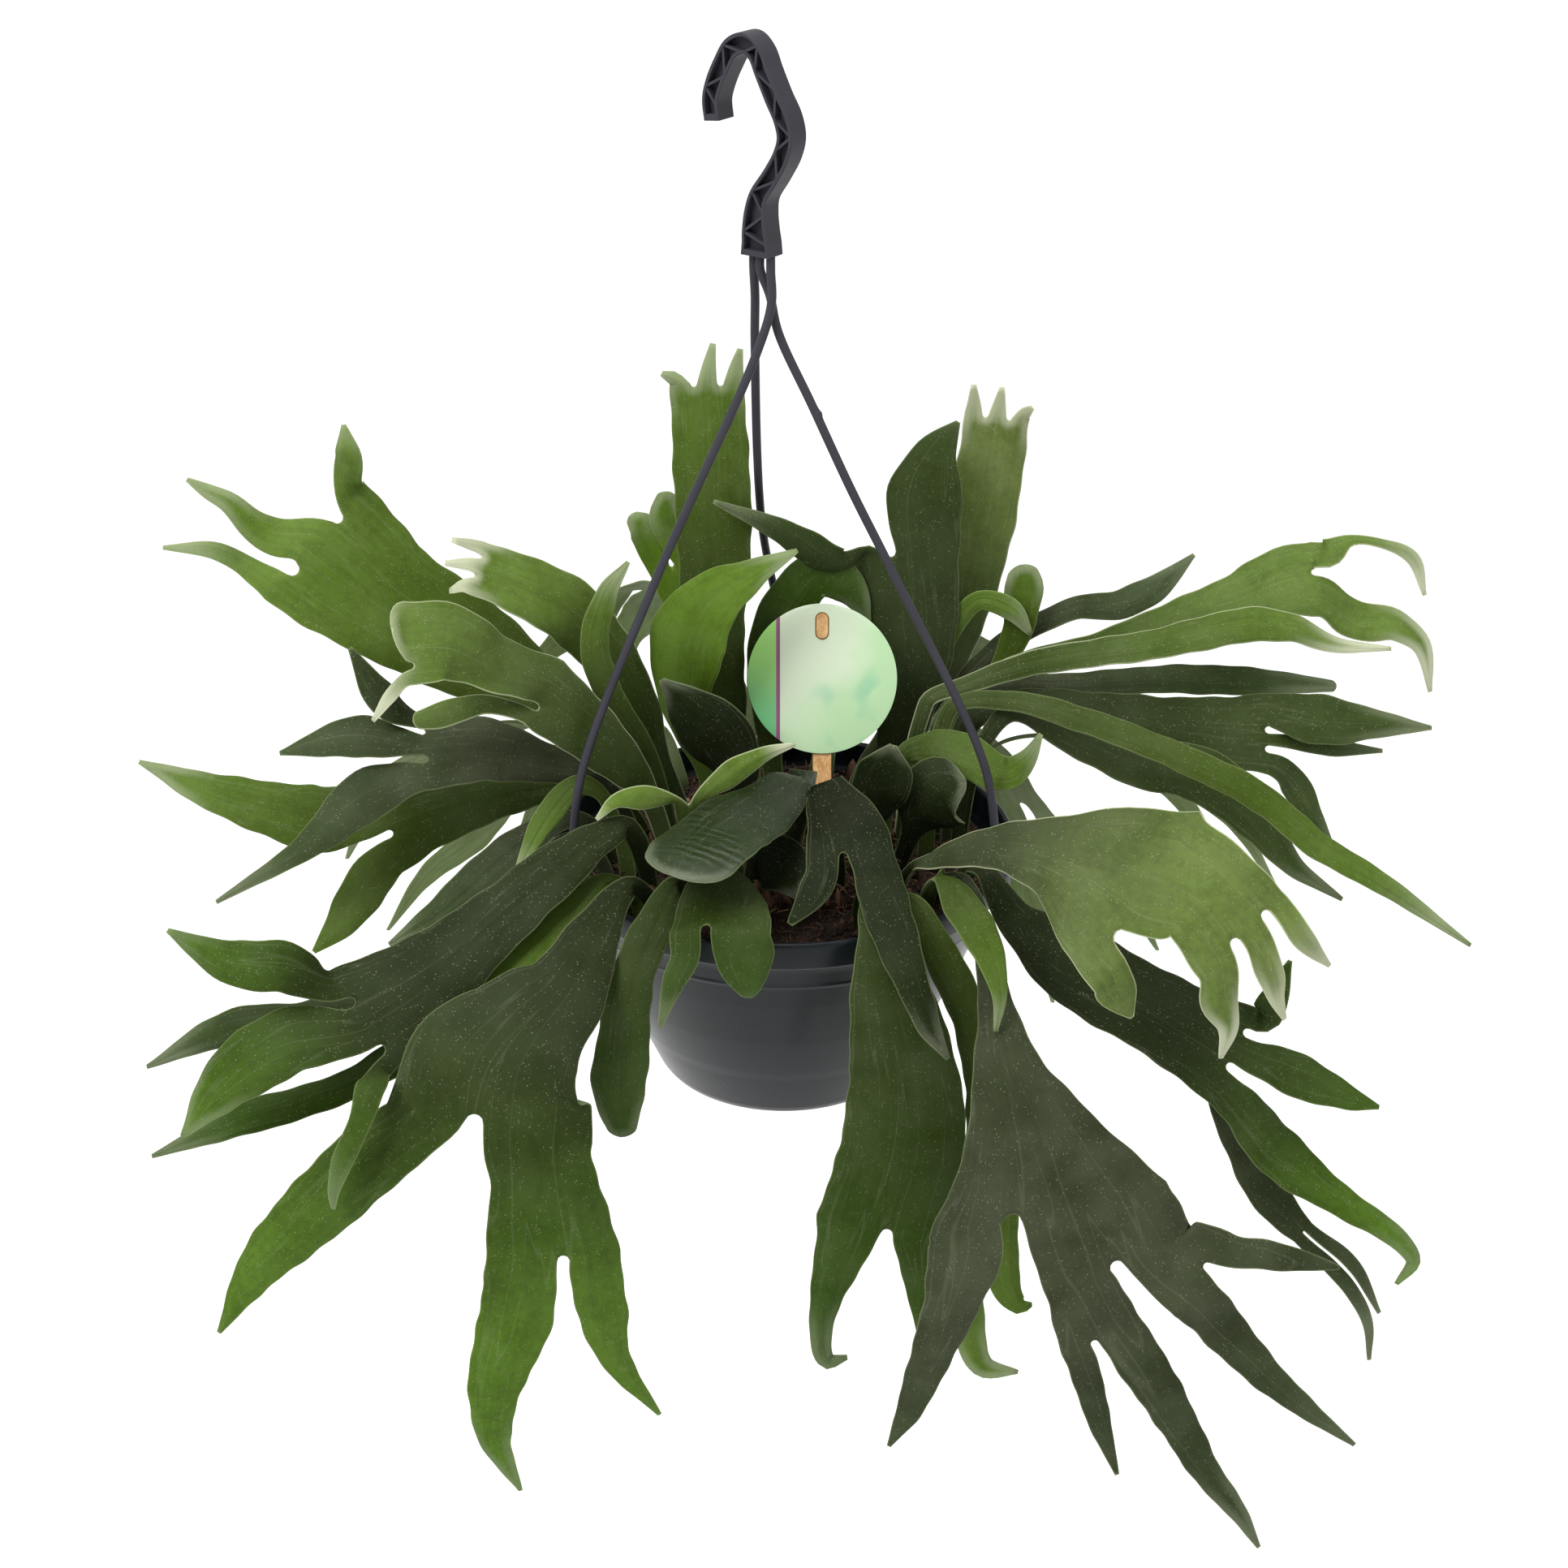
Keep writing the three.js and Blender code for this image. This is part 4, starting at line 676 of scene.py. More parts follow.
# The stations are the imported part's own, in millimetres. The last seven fronds are behind the pot.
FRONDS: dict[str, Frond] = {
    "tall_left": Frond(Tone.MID, (-18, 22), UPRIGHT, [
        (-19, 24, 108, 3.8), (-21, 24, 136, 6.4), (-26, 24, 170, 11), (-26.3, 26, 212, 14.2),
        (-28.3, 32, 266, 13.6)], [
        Lobe([(-45, 34, 269, 1)]),
        Lobe([(-26, 35, 280, 1)]),
        Lobe([(-16, 35, 278, 1)])]),
    "small_left_back": Frond(Tone.FRESH, (-30, 44), UPRIGHT, [
        (-34, 52, 130, 3.9), (-38, 58, 163, 7), (-44, 60, 184, 10)], [
        Lobe([(-54, 60, 198, 6.4), (-60, 60, 204, 2.4)]),
        Lobe([(-46, 60, 203, 6.4), (-45, 60, 214, 3.4)])]),
    "tall_right_pale": Frond(Tone.PALE, (28, 46), UPRIGHT, [
        (34, 49, 104, 3.9), (52, 52, 126, 8), (67.5, 60, 158, 11), (77, 68, 196, 13),
        (82.5, 74, 240, 12.8)], [
        Lobe([(73, 75, 252, 1)]),
        Lobe([(84, 75, 251, 1)]),
        Lobe([(96, 75, 243, 1)])]),
    "twin_right_dark": Frond(Tone.DUSKY, (38, 26), UPRIGHT, [
        (41, 29, 104, 4.6), (46, 34, 125, 10), (49, 40, 157, 17.5), (46.5, 46, 195, 21)], [
        Lobe([(20, 38, 194, 8), (-2, 26, 211, 4.4), (-26, 18, 225, 0.8)]),
        Lobe([(54, 49, 216, 14.5), (58, 52, 232, 8.6), (66, 54, 244, 0.9)])]),
    "bright_curled": Frond(Tone.FRESH, (-27, 8), (-0.3, -0.85, 0.4), [
        (-30, 6, 120, 3.8), (-38, 3, 147, 9), (-37, 0, 174, 16), (-28, -2, 192, 12), (-14, 0, 202, 6.6),
        (5, 4, 211, 0.8)]),
    "narrow_left": Frond(Tone.MID, (-44, 3), UPRIGHT, [
        (-51, -2, 131, 3.2), (-64, -6, 156, 5), (-70, -7, 177, 5.4), (-65, -4, 197, 4),
        (-57, 0, 208, 0.8)]),
    "arc_behind_label": Frond(Tone.DEEP, (-2, 10), UPRIGHT, [
        (-5, 21, 122, 4.4), (-6, 29, 146, 8), (-3, 36, 167, 9.4), (12, 40, 187, 9), (25, 41, 182, 7),
        (33, 41, 166, 0.9)]),
    "dark_centre": Frond(Tone.SHADE, (-15, -5), (-0.4, -0.85, 0.3), [
        (-17, -6, 114, 5), (-21, -11, 134, 12.5), (-30, -14, 150, 13), (-45, -16, 168, 1.2)]),
    "two_lobed_behind": Frond(Tone.EDGED, (-34, -21), UPRIGHT, [
        (-35, -27, 110, 3.6), (-35, -35, 127, 6)], [
        Lobe([(-50, -41, 132, 4.7), (-61, -46, 133, 2.6), (-68, -49, 127, 0.8)]),
        Lobe([(-21, -34, 137, 5), (-8, -30, 144, 3), (4, -27, 147, 0.8)])]),
    "glossy_wide": Frond(Tone.GLOSSY, (2, -17), (-0.35, -0.7, 0.62), [
        (6, -26, 132, 6.6), (-6, -45, 132, 13), (-21, -65, 132, 17.4), (-32, -85, 132, 17.3),
        (-39, -98, 130, 11.8)]),
    "front_two_prong": Frond(Tone.DEEP, (-17, -47), HANGING, [
        (-19, -58, 112, 4.7), (-21, -76, 112, 14.5), (-22, -97, 108, 17.6)], [
        Lobe([(-14, -100, 99, 10.8), (-13, -101, 91, 7.7), (-12, -101, 83, 2.3)]),
        Lobe([(-35, -100, 98, 5.4), (-39, -101, 89, 4), (-44, -101, 71, 0.8)])]),
    "centre_claw": Frond(Tone.SHADE, (20, -29), TO_VIEWER, [
        (15, -36, 135, 5.9), (18, -44, 132, 10.6), (22, -55, 127, 14.4), (24, -66, 121, 16)], [
        Lobe([(37, -90, 109, 8.6), (44, -107, 95, 6.2), (51, -109, 76, 4.3), (58, -108, 62, 0.8)]),
        Lobe([(11, -78, 114, 5.8), (2, -84, 103, 1.2)])]),
    "front_hanging": Frond(Tone.DEEP, (28, -55), HANGING, [
        (33, -68, 108, 6.4), (35, -88, 104, 9), (38, -99, 81, 15), (43, -102, 50, 19.7), (43, -104, 20, 23),
        (36, -105, -14, 24.4)], [
        Lobe([(51, -105, -37, 6.6), (51, -104, -61, 1.2)]),
        Lobe([(18, -105, -34, 7.8), (14, -104, -57, 4.6), (16, -103, -75, 3.2), (24, -102, -74, 0.9)])]),
    "front_right_big": Frond(Tone.GREY, (56, -40), HANGING, [
        (64, -64, 109, 4), (70, -80, 101, 4.2), (74, -98, 84, 5.6), (78, -118, 65, 12.4),
        (86, -130, 41, 25.5), (93, -136, 16, 42.8)], [
        Lobe([(119, -140, -3, 28.7)], [
            Lobe([(148, -141, -7, 17.8)], [
                Lobe([(171, -139, 0, 5.4), (185, -137, -4, 3.5), (198, -134, -9, 0.8)]),
                Lobe([(158, -140, -32, 8.4), (173, -139, -51, 6.2), (189, -137, -68, 4.2),
                      (211, -134, -89, 0.8)])]),
            Lobe([(114, -142, -34, 15.7)], [
                Lobe([(132, -142, -51, 8.5), (142, -140, -70, 7.4), (157, -137, -100, 5.4),
                      (170, -135, -120, 3.6), (180, -132, -140, 0.8)]),
                Lobe([(110, -142, -54, 5.3), (115, -139, -73, 4.4), (124, -134, -103, 0.8)])])]),
        Lobe([(64, -139, 1, 13.8), (59, -139, -24, 10.1), (52, -136, -51, 7.1), (46, -133, -74, 4.8),
              (39, -130, -93, 0.8)])]),
    "hidden_right_of_pot": Frond(Tone.MID, (40, -54), HANGING, [
        (46, -72, 105, 4.1), (55, -85, 93, 6.5), (67, -91, 68, 6.8), (75, -92, 30, 8.6),
        (76, -93, -16, 11)], [
        Lobe([(83, -93, -45, 6), (89, -93, -57, 3.4), (94, -92, -57, 0.8)]),
        Lobe([(70, -93, -61, 6), (76, -92, -86, 4.6), (90, -92, -89, 0.8)])]),
    "tongue_right": Frond(Tone.MID, (52, -50), (0.3, -0.85, 0.4), [
        (56, -68, 114, 3), (64, -90, 112, 7.4), (72, -106, 102, 5.6), (75, -111, 89, 2.8),
        (74, -112, 76, 0.8)]),
    "pale_right_claws": Frond(Tone.CLAWED, (42, -38), (0, -0.6, 0.8), [
        (47, -48, 107, 3), (54, -62, 118, 4.4), (73, -78, 131, 8), (91, -91, 135, 14.1),
        (106, -103, 134, 26.2), (123, -114, 129, 35.9)], [
        Lobe([(142, -121, 136, 19.1), (155, -126, 122, 20.8)], [
            Lobe([(176, -126, 120, 3.8), (186, -122, 108, 0.8)]),
            Lobe([(165, -129, 108, 4.7), (168, -128, 98, 2.8), (172, -124, 88, 0.8)]),
            Lobe([(148, -131, 99, 6.6), (152, -129, 88, 3.9), (151, -125, 73, 0.8)])]),
        Lobe([(115, -124, 97, 6.7), (120, -121, 87, 0.8)])], tip_face=(0.1, -0.9, 0.42)),
    "right_lower": Frond(Tone.TIPPED, (66, -28), TO_VIEWER, [
        (73, -50, 107, 4), (84, -60, 93, 7.4), (106, -63, 75, 14.4), (141, -70, 56, 16.4),
        (166, -77, 44, 19.7)], [
        Lobe([(177, -73, 60, 6.5), (185, -66, 78, 0.8)]),
        Lobe([(190, -78, 36, 8.4), (208, -78, 27, 5), (221, -76, 21, 0.8)]),
        Lobe([(184, -82, 5, 10), (207, -84, -14, 6.1), (229, -84, -30, 4.4), (239, -83, -43, 3),
              (234, -82, -55, 0.8)])]),
    "right_tails": Frond(Tone.GREY, (70, -16), TO_VIEWER, [
        (82, -22, 106, 3.2), (98, -30, 96, 3.2), (120, -40, 67, 3.4), (142, -50, 44, 3.6),
        (160, -58, 25, 4.4), (172, -64, 1, 7), (185, -69, -23, 7.6), (199, -71, -39, 5)], [
        Lobe([(219, -72, -53, 2.8), (232, -71, -77, 0.8)]),
        Lobe([(216, -73, -60, 3), (227, -73, -79, 2.2), (230, -72, -99, 0.8)])]),
    "right_long_dark": Frond(Tone.DUSKY, (64, 7), TO_VIEWER, [
        (70, 11, 138, 5), (88, 11, 146, 6.2), (119, 12, 141, 9.3), (147, 11, 137, 11.8),
        (170, 10, 135, 14.9), (185, 9, 135, 16.4)], [
        Lobe([(201, 9, 141, 10.2), (224, 9, 139, 6.2), (247, 9, 137, 0.8)]),
        Lobe([(211, 15, 126, 3.4), (231, 16, 124, 0.8)]),
        Lobe([(195, 6, 116, 5.9), (204, 3, 101, 4.4), (213, 1, 88, 0.8)])]),
    "right_crossing": Frond(Tone.MID, (54, -8), TO_VIEWER, [
        (62, 0, 148, 3.2), (84, -8, 156, 3.9), (112, -20, 153, 5.1), (142, -31, 145, 5.3),
        (173, -39, 132, 5.6), (196, -44, 114, 5.4), (222, -48, 99, 3.9), (254, -53, 77, 0.8)]),
    "right_under": Frond(Tone.DUSKY, (66, -8), TO_VIEWER, [
        (73, -8, 134, 3), (86, -4, 150, 4), (108, -5, 140, 6.7), (133, -7, 130, 9.5), (157, -11, 127, 10.7),
        (176, -16, 114, 9.5), (192, -20, 94, 4.6), (212, -23, 80, 0.8)]),
    "right_high_two": Frond(Tone.EDGED, (53, 22), TO_VIEWER, [
        (66, 27, 135, 3.8), (89, 34, 151, 5), (121, 38, 159, 5), (152, 41, 169, 7.5), (177, 43, 176, 11.9),
        (194, 45, 183, 14.4), (205, 45, 184, 15)], [
        Lobe([(209, 46, 194, 5.9), (217, 46, 199, 2.5), (229, 46, 198, 1.9), (242, 46, 192, 2.8),
              (248, 45, 177, 0.8)]),
        Lobe([(222, 44, 167, 8.2), (238, 44, 165, 6.3), (249, 43, 156, 3.8), (254, 43, 137, 0.8)])]),
    "right_high_bright": Frond(Tone.EDGED, (46, 9), TO_VIEWER, [
        (54, 8, 148, 3.1), (69, 11, 154, 3.7), (95, 14, 162, 4.9), (141, 18, 168, 6.2), (175, 20, 175, 6.8),
        (192, 20, 174, 5.8), (209, 20, 167, 3.4), (231, 20, 165, 0.8)]),
    "right_grey_flat": Frond(Tone.GREY, (58, 15), (0, -0.6, 0.8), [
        (62, 17, 140, 3), (80, 22, 150, 4), (104, 27, 147, 5), (149, 33, 147, 6.3), (187, 35, 145, 5.7),
        (215, 35, 143, 2.5)]),
    "right_notched": Frond(Tone.GREY, (56, 44), TO_VIEWER, [
        (66, 46, 132, 3.2), (84, 50, 153, 4.1), (114, 56, 167, 4.8), (132, 60, 167, 6.1),
        (147, 62, 174, 5.1), (161, 65, 186, 0.8)]),
    "right_small_round": Frond(Tone.MID, (64, 33), TO_VIEWER, [
        (72, 38, 126, 3.2), (83, 44, 143, 3.8), (91, 46, 162, 6), (93, 48, 179, 7.4), (92, 49, 188, 5)]),
    "right_bent_strap": Frond(Tone.MID, (50, 39), UPRIGHT, [
        (54, 44, 130, 3.1), (64, 46, 158, 3.6), (75, 44, 175, 3.8), (88, 42, 172, 4.2),
        (96, 41, 162, 0.9)]),
    "right_hooked": Frond(Tone.MID, (37, 0), TO_VIEWER, [
        (45, -4, 131, 3.7), (55, -11, 139, 6.1), (67, -18, 139, 7.9), (81, -25, 134, 6.7),
        (89, -28, 141, 3.9), (94, -29, 152, 0.8)]),
    "right_inner_dark": Frond(Tone.SHADE, (44, -14), (0.2, -0.7, 0.68), [
        (49, -17, 107, 5), (53, -22, 118, 13), (59, -27, 128, 13.5), (67, -33, 134, 1.8)]),
    "inner_dark_right": Frond(Tone.SHADE, (28, -12), TO_VIEWER, [
        (30, -15, 106, 5), (34, -20, 122, 10), (38, -26, 136, 10), (40, -30, 148, 1.4)]),
    "inner_dark_left": Frond(Tone.SHADE, (-12, -33), (-0.3, -0.75, 0.6), [
        (-10, -38, 104, 5), (-5, -46, 109, 10), (1, -54, 108, 10), (5, -62, 102, 1.4)]),
    "left_high_three": Frond(Tone.MID, (-46, 31), TO_VIEWER, [
        (-66, 32, 115, 3.8), (-84, 27, 135, 10), (-114, 26, 159, 18.5), (-150, 26, 183, 24.3),
        (-162, 27, 193, 27.6), (-176, 28, 206, 29.3)], [
        Lobe([(-204, 28, 196, 4), (-215, 28, 202, 3.4), (-234, 28, 203, 0.8)]),
        Lobe([(-195, 28, 209, 6.7), (-208, 29, 221, 3.9), (-216, 30, 225, 2.7), (-223, 31, 229, 0.8)]),
        Lobe([(-162, 30, 240, 4.8), (-163, 32, 250, 0.8)])]),
    "left_ragged_pale": Frond(Tone.EDGED, (-38, 17), TO_VIEWER, [
        (-47, 14, 122, 3.2), (-54, 12, 145, 6.8), (-67, 10, 169, 10.4), (-83, 4, 190, 12.6),
        (-113, -1, 207, 10.5)], [
        Lobe([(-123, -1, 197, 1)]),
        Lobe([(-124, -1, 208, 1)]),
        Lobe([(-121, -1, 217, 1)])]),
    "left_pale_broad": Frond(Tone.EDGED, (-44, -11), TO_VIEWER, [
        (-52, -14, 122, 4.6), (-58, -18, 133, 8.2), (-72, -23, 151, 11.3), (-87, -28, 168, 13.9)], [
        Lobe([(-109, -27, 163, 3.8), (-124, -29, 160, 5.3), (-135, -31, 158, 3)]),
        Lobe([(-103, -35, 183, 11.3), (-118, -41, 194, 14.4), (-133, -45, 195, 15.5)], [
            Lobe([(-140, -46, 175, 2.6), (-147, -46, 165, 0.8)]),
            Lobe([(-138, -46, 200, 10.8)])])]),
    "left_mid_grey": Frond(Tone.GREY, (-57, 0), TO_VIEWER, [
        (-70, -4, 123, 3.7), (-85, -6, 128, 6.7), (-111, -12, 138, 12.7), (-134, -18, 140, 15)], [
        Lobe([(-155, -27, 126, 10.2), (-178, -34, 108, 5), (-212, -38, 87, 0.8)]),
        Lobe([(-158, -20, 147, 8), (-187, -20, 140, 0.8)]),
        Lobe([(-148, -17, 161, 6), (-159, -14, 180, 0.8)])]),
    "left_far": Frond(Tone.MID, (-56, 15), TO_VIEWER, [
        (-71, 9, 111, 3.7), (-89, 7, 113, 5.6), (-120, 2, 109, 11.2), (-138, -1, 105, 14.3),
        (-152, -4, 101, 18)], [
        Lobe([(-158, -13, 84, 9), (-169, -23, 70, 6.2), (-179, -30, 61, 0.9)]),
        Lobe([(-177, -4, 105, 13), (-195, -4, 109, 10.8), (-219, -4, 117, 7.1), (-245, 0, 127, 0.8)])]),
    "left_strap_grey": Frond(Tone.GREY, (-66, -8), TO_VIEWER, [
        (-74, -10, 106, 3.2), (-86, -15, 109, 4.9), (-106, -25, 99, 7.3), (-128, -35, 82, 6.1),
        (-148, -42, 71, 0.9)]),
    "left_strap_green": Frond(Tone.MID, (-59, -22), TO_VIEWER, [
        (-67, -18, 120, 2.6), (-77, -20, 127, 4.2), (-89, -30, 117, 4.6), (-99, -44, 102, 0.9)]),
    "left_three_pale": Frond(Tone.TIPPED, (-50, -34), TO_VIEWER, [
        (-57, -43, 121, 4.4), (-68, -55, 122, 6.8), (-81, -65, 116, 10), (-106, -79, 99, 12.4),
        (-127, -90, 85, 16.4), (-150, -100, 73, 22.5)], [
        Lobe([(-142, -134, 67, 5.3), (-146, -141, 56, 3.9), (-152, -143, 43, 3.9), (-156, -143, 31, 2.3),
              (-157, -142, 22, 0.8)]),
        Lobe([(-175, -107, 69, 12), (-198, -111, 54, 10), (-215, -112, 32, 0.9)]),
        Lobe([(-175, -102, 96, 9.4), (-194, -103, 99, 7.4), (-215, -99, 109, 0.8)])]),
    "left_low_upper": Frond(Tone.GREY, (-68, -19), TO_VIEWER, [
        (-80, -22, 106, 3.6), (-97, -33, 92, 5), (-112, -48, 77, 6.4), (-145, -66, 62, 7.8),
        (-174, -75, 59, 6.6), (-203, -77, 56, 6.5), (-235, -75, 38, 0.8)]),
    "left_low_lower": Frond(Tone.DEEP, (-60, -44), TO_VIEWER, [
        (-75, -52, 103, 3.6), (-90, -57, 90, 4.6), (-108, -62, 66, 6), (-133, -70, 47, 7.2),
        (-163, -80, 32, 5.8), (-200, -86, 22, 6), (-235, -83, 4, 0.8)]),
    "front_left_big": Frond(Tone.TIPPED, (-46, -56), HANGING, [
        (-55, -68, 110, 4.3), (-65, -84, 104, 8.3), (-76, -102, 88, 15), (-89, -115, 79, 22.6),
        (-99, -123, 67, 32.4), (-103, -130, 49, 36.1)], [
        Lobe([(-84, -135, 25, 19.3), (-83, -137, 15, 21.4), (-82, -139, -2, 23.8)], [
            Lobe([(-65, -139, -23, 9.3), (-61, -137, -47, 5.6), (-46, -129, -79, 0.8)]),
            Lobe([(-96, -139, -27, 13.6), (-105, -138, -58, 10), (-107, -134, -86, 6.3),
                  (-99, -129, -115, 0.8)])]),
        Lobe([(-141, -133, 40, 14.4), (-166, -134, 15, 12), (-188, -131, -11, 8.1),
              (-206, -127, -43, 0.8)])]),
    "left_green_between": Frond(Tone.FRESH, (-53, -47), TO_VIEWER, [
        (-66, -58, 107, 4), (-82, -74, 93, 9), (-104, -88, 75, 12.4), (-124, -98, 61, 10),
        (-137, -104, 50, 0.9)]),
    "left_hanging": Frond(Tone.DEEP, (-34, -50), HANGING, [
        (-39, -68, 110, 4), (-46, -84, 103, 7), (-54, -93, 85, 7.8), (-58, -94, 58, 9.6),
        (-60, -94, 39, 9.7), (-59, -94, 20, 4.4)]),
    "back_left_reach": Frond(Tone.MID, (-12, 48), TO_BACK, [
        (-18, 66, 128, 4.4), (-30, 96, 146, 9), (-44, 128, 146, 16), (-54, 154, 134, 24)], [
        Lobe([(-84, 162, 120, 9), (-104, 172, 100, 6), (-120, 178, 76, 0.9)]),
        Lobe([(-62, 178, 116, 10), (-72, 198, 92, 6), (-78, 208, 62, 0.9)]),
        Lobe([(-38, 180, 116, 9), (-34, 200, 90, 5), (-30, 208, 62, 0.9)])]),
    "back_right_reach": Frond(Tone.MID, (12, 46), TO_BACK, [
        (20, 66, 122, 4.4), (34, 96, 132, 9), (48, 124, 128, 17), (58, 146, 114, 25)], [
        Lobe([(38, 166, 88, 9), (32, 178, 62, 5), (26, 182, 36, 0.9)]),
        Lobe([(66, 172, 92, 10), (72, 188, 64, 6), (78, 194, 32, 0.9)]),
        Lobe([(90, 156, 104, 10), (112, 166, 84, 6), (128, 172, 58, 0.9)])]),
    "back_hanging": Frond(Tone.MID, (17, 64), (0, 0.95, 0.3), [
        (19, 82, 111, 5), (18, 99, 100, 10), (14, 112, 74, 17), (8, 120, 42, 22), (2, 124, 14, 24)], [
        Lobe([(-18, 126, -14, 10), (-27, 126, -44, 6), (-26, 122, -78, 0.9)]),
        Lobe([(22, 126, -12, 9), (28, 126, -38, 6), (34, 122, -66, 0.9)])]),
    "back_left_hanging": Frond(Tone.MID, (-42, 56), (-0.4, 0.8, 0.45), [
        (-54, 72, 110, 5), (-70, 90, 104, 10), (-88, 108, 82, 18), (-102, 120, 52, 26)], [
        Lobe([(-136, 118, 34, 9), (-158, 120, 14, 6), (-176, 118, -12, 0.9)]),
        Lobe([(-112, 128, 16, 11), (-122, 130, -18, 7), (-126, 126, -52, 0.9)]),
        Lobe([(-84, 132, 20, 10), (-82, 134, -10, 6), (-76, 130, -40, 0.9)])]),
    "back_right_hanging": Frond(Tone.MID, (37, 59), (0.4, 0.8, 0.45), [
        (52, 78, 109, 4), (68, 94, 100, 10), (84, 108, 78, 18), (96, 118, 50, 25)], [
        Lobe([(80, 130, 20, 9), (74, 132, -8, 6), (68, 128, -36, 0.9)]),
        Lobe([(108, 128, 14, 11), (116, 130, -20, 7), (122, 126, -54, 0.9)]),
        Lobe([(128, 118, 30, 10), (150, 118, 8, 6), (166, 114, -20, 0.9)])]),
    "back_left_side": Frond(Tone.MID, (-62, 40), (-0.2, 0.6, 0.78), [
        (-84, 54, 112, 4.6), (-108, 68, 112, 9), (-136, 80, 98, 15)], [
        Lobe([(-166, 78, 84, 8), (-188, 78, 68, 5), (-206, 76, 44, 0.9)]),
        Lobe([(-160, 100, 76, 8), (-178, 108, 54, 5), (-190, 110, 28, 0.9)])]),
    "back_right_side": Frond(Tone.MID, (62, 38), (0.2, 0.6, 0.78), [
        (86, 54, 109, 4.4), (112, 68, 106, 9), (138, 78, 92, 15)], [
        Lobe([(162, 96, 70, 8), (178, 104, 48, 5), (190, 106, 22, 0.9)]),
        Lobe([(168, 76, 78, 8), (190, 74, 60, 5), (206, 72, 36, 0.9)])]),
}


class BladeLine:
    """A smooth line through stations: cubics whose slopes come from the stations on either side."""

    def __init__(self, stations: np.ndarray, lead: np.ndarray) -> None:
        """Keeps the stations, the distances between them and the slopes; lead bends the first slope."""
        self.stations = stations
        steps = np.linalg.norm(np.diff(stations[:, :3], axis=0), axis=1)
        self.knots = np.concatenate([[0], np.cumsum(steps)])
        self.length = float(self.knots[-1])
        last = len(stations) - 1
        low = np.maximum(np.arange(len(stations)) - 1, 0)
        high = np.minimum(np.arange(len(stations)) + 1, last)
        self.slopes = (stations[high] - stations[low]) / (self.knots[high] - self.knots[low])[:, None]
        self.slopes[0, :3] = (self.slopes[0, :3] + lead) / 2

    def at(self, distance: np.ndarray) -> tuple[np.ndarray, np.ndarray, np.ndarray]:
        """The middle, the direction ahead and the half width at each distance along the line."""
        index = np.clip(np.searchsorted(self.knots, distance, side="left"), 1, len(self.knots) - 1)
        span = (self.knots[index] - self.knots[index - 1])[..., None]
        t = (distance - self.knots[index - 1])[..., None] / span
        a, b = self.stations[index - 1], self.stations[index]
        m, n = self.slopes[index - 1], self.slopes[index]
        value = ((2 * t ** 3 - 3 * t ** 2 + 1) * a + (t ** 3 - 2 * t ** 2 + t) * span * m
                 + (3 * t ** 2 - 2 * t ** 3) * b + (t ** 3 - t ** 2) * span * n)
        slope = ((6 * t ** 2 - 6 * t) * (a - b) / span + (3 * t ** 2 - 4 * t + 1) * m
                 + (3 * t ** 2 - 2 * t) * n)
        return value[..., :3], unit(slope[..., :3]), np.maximum(value[..., 3], LEAST_HALF)


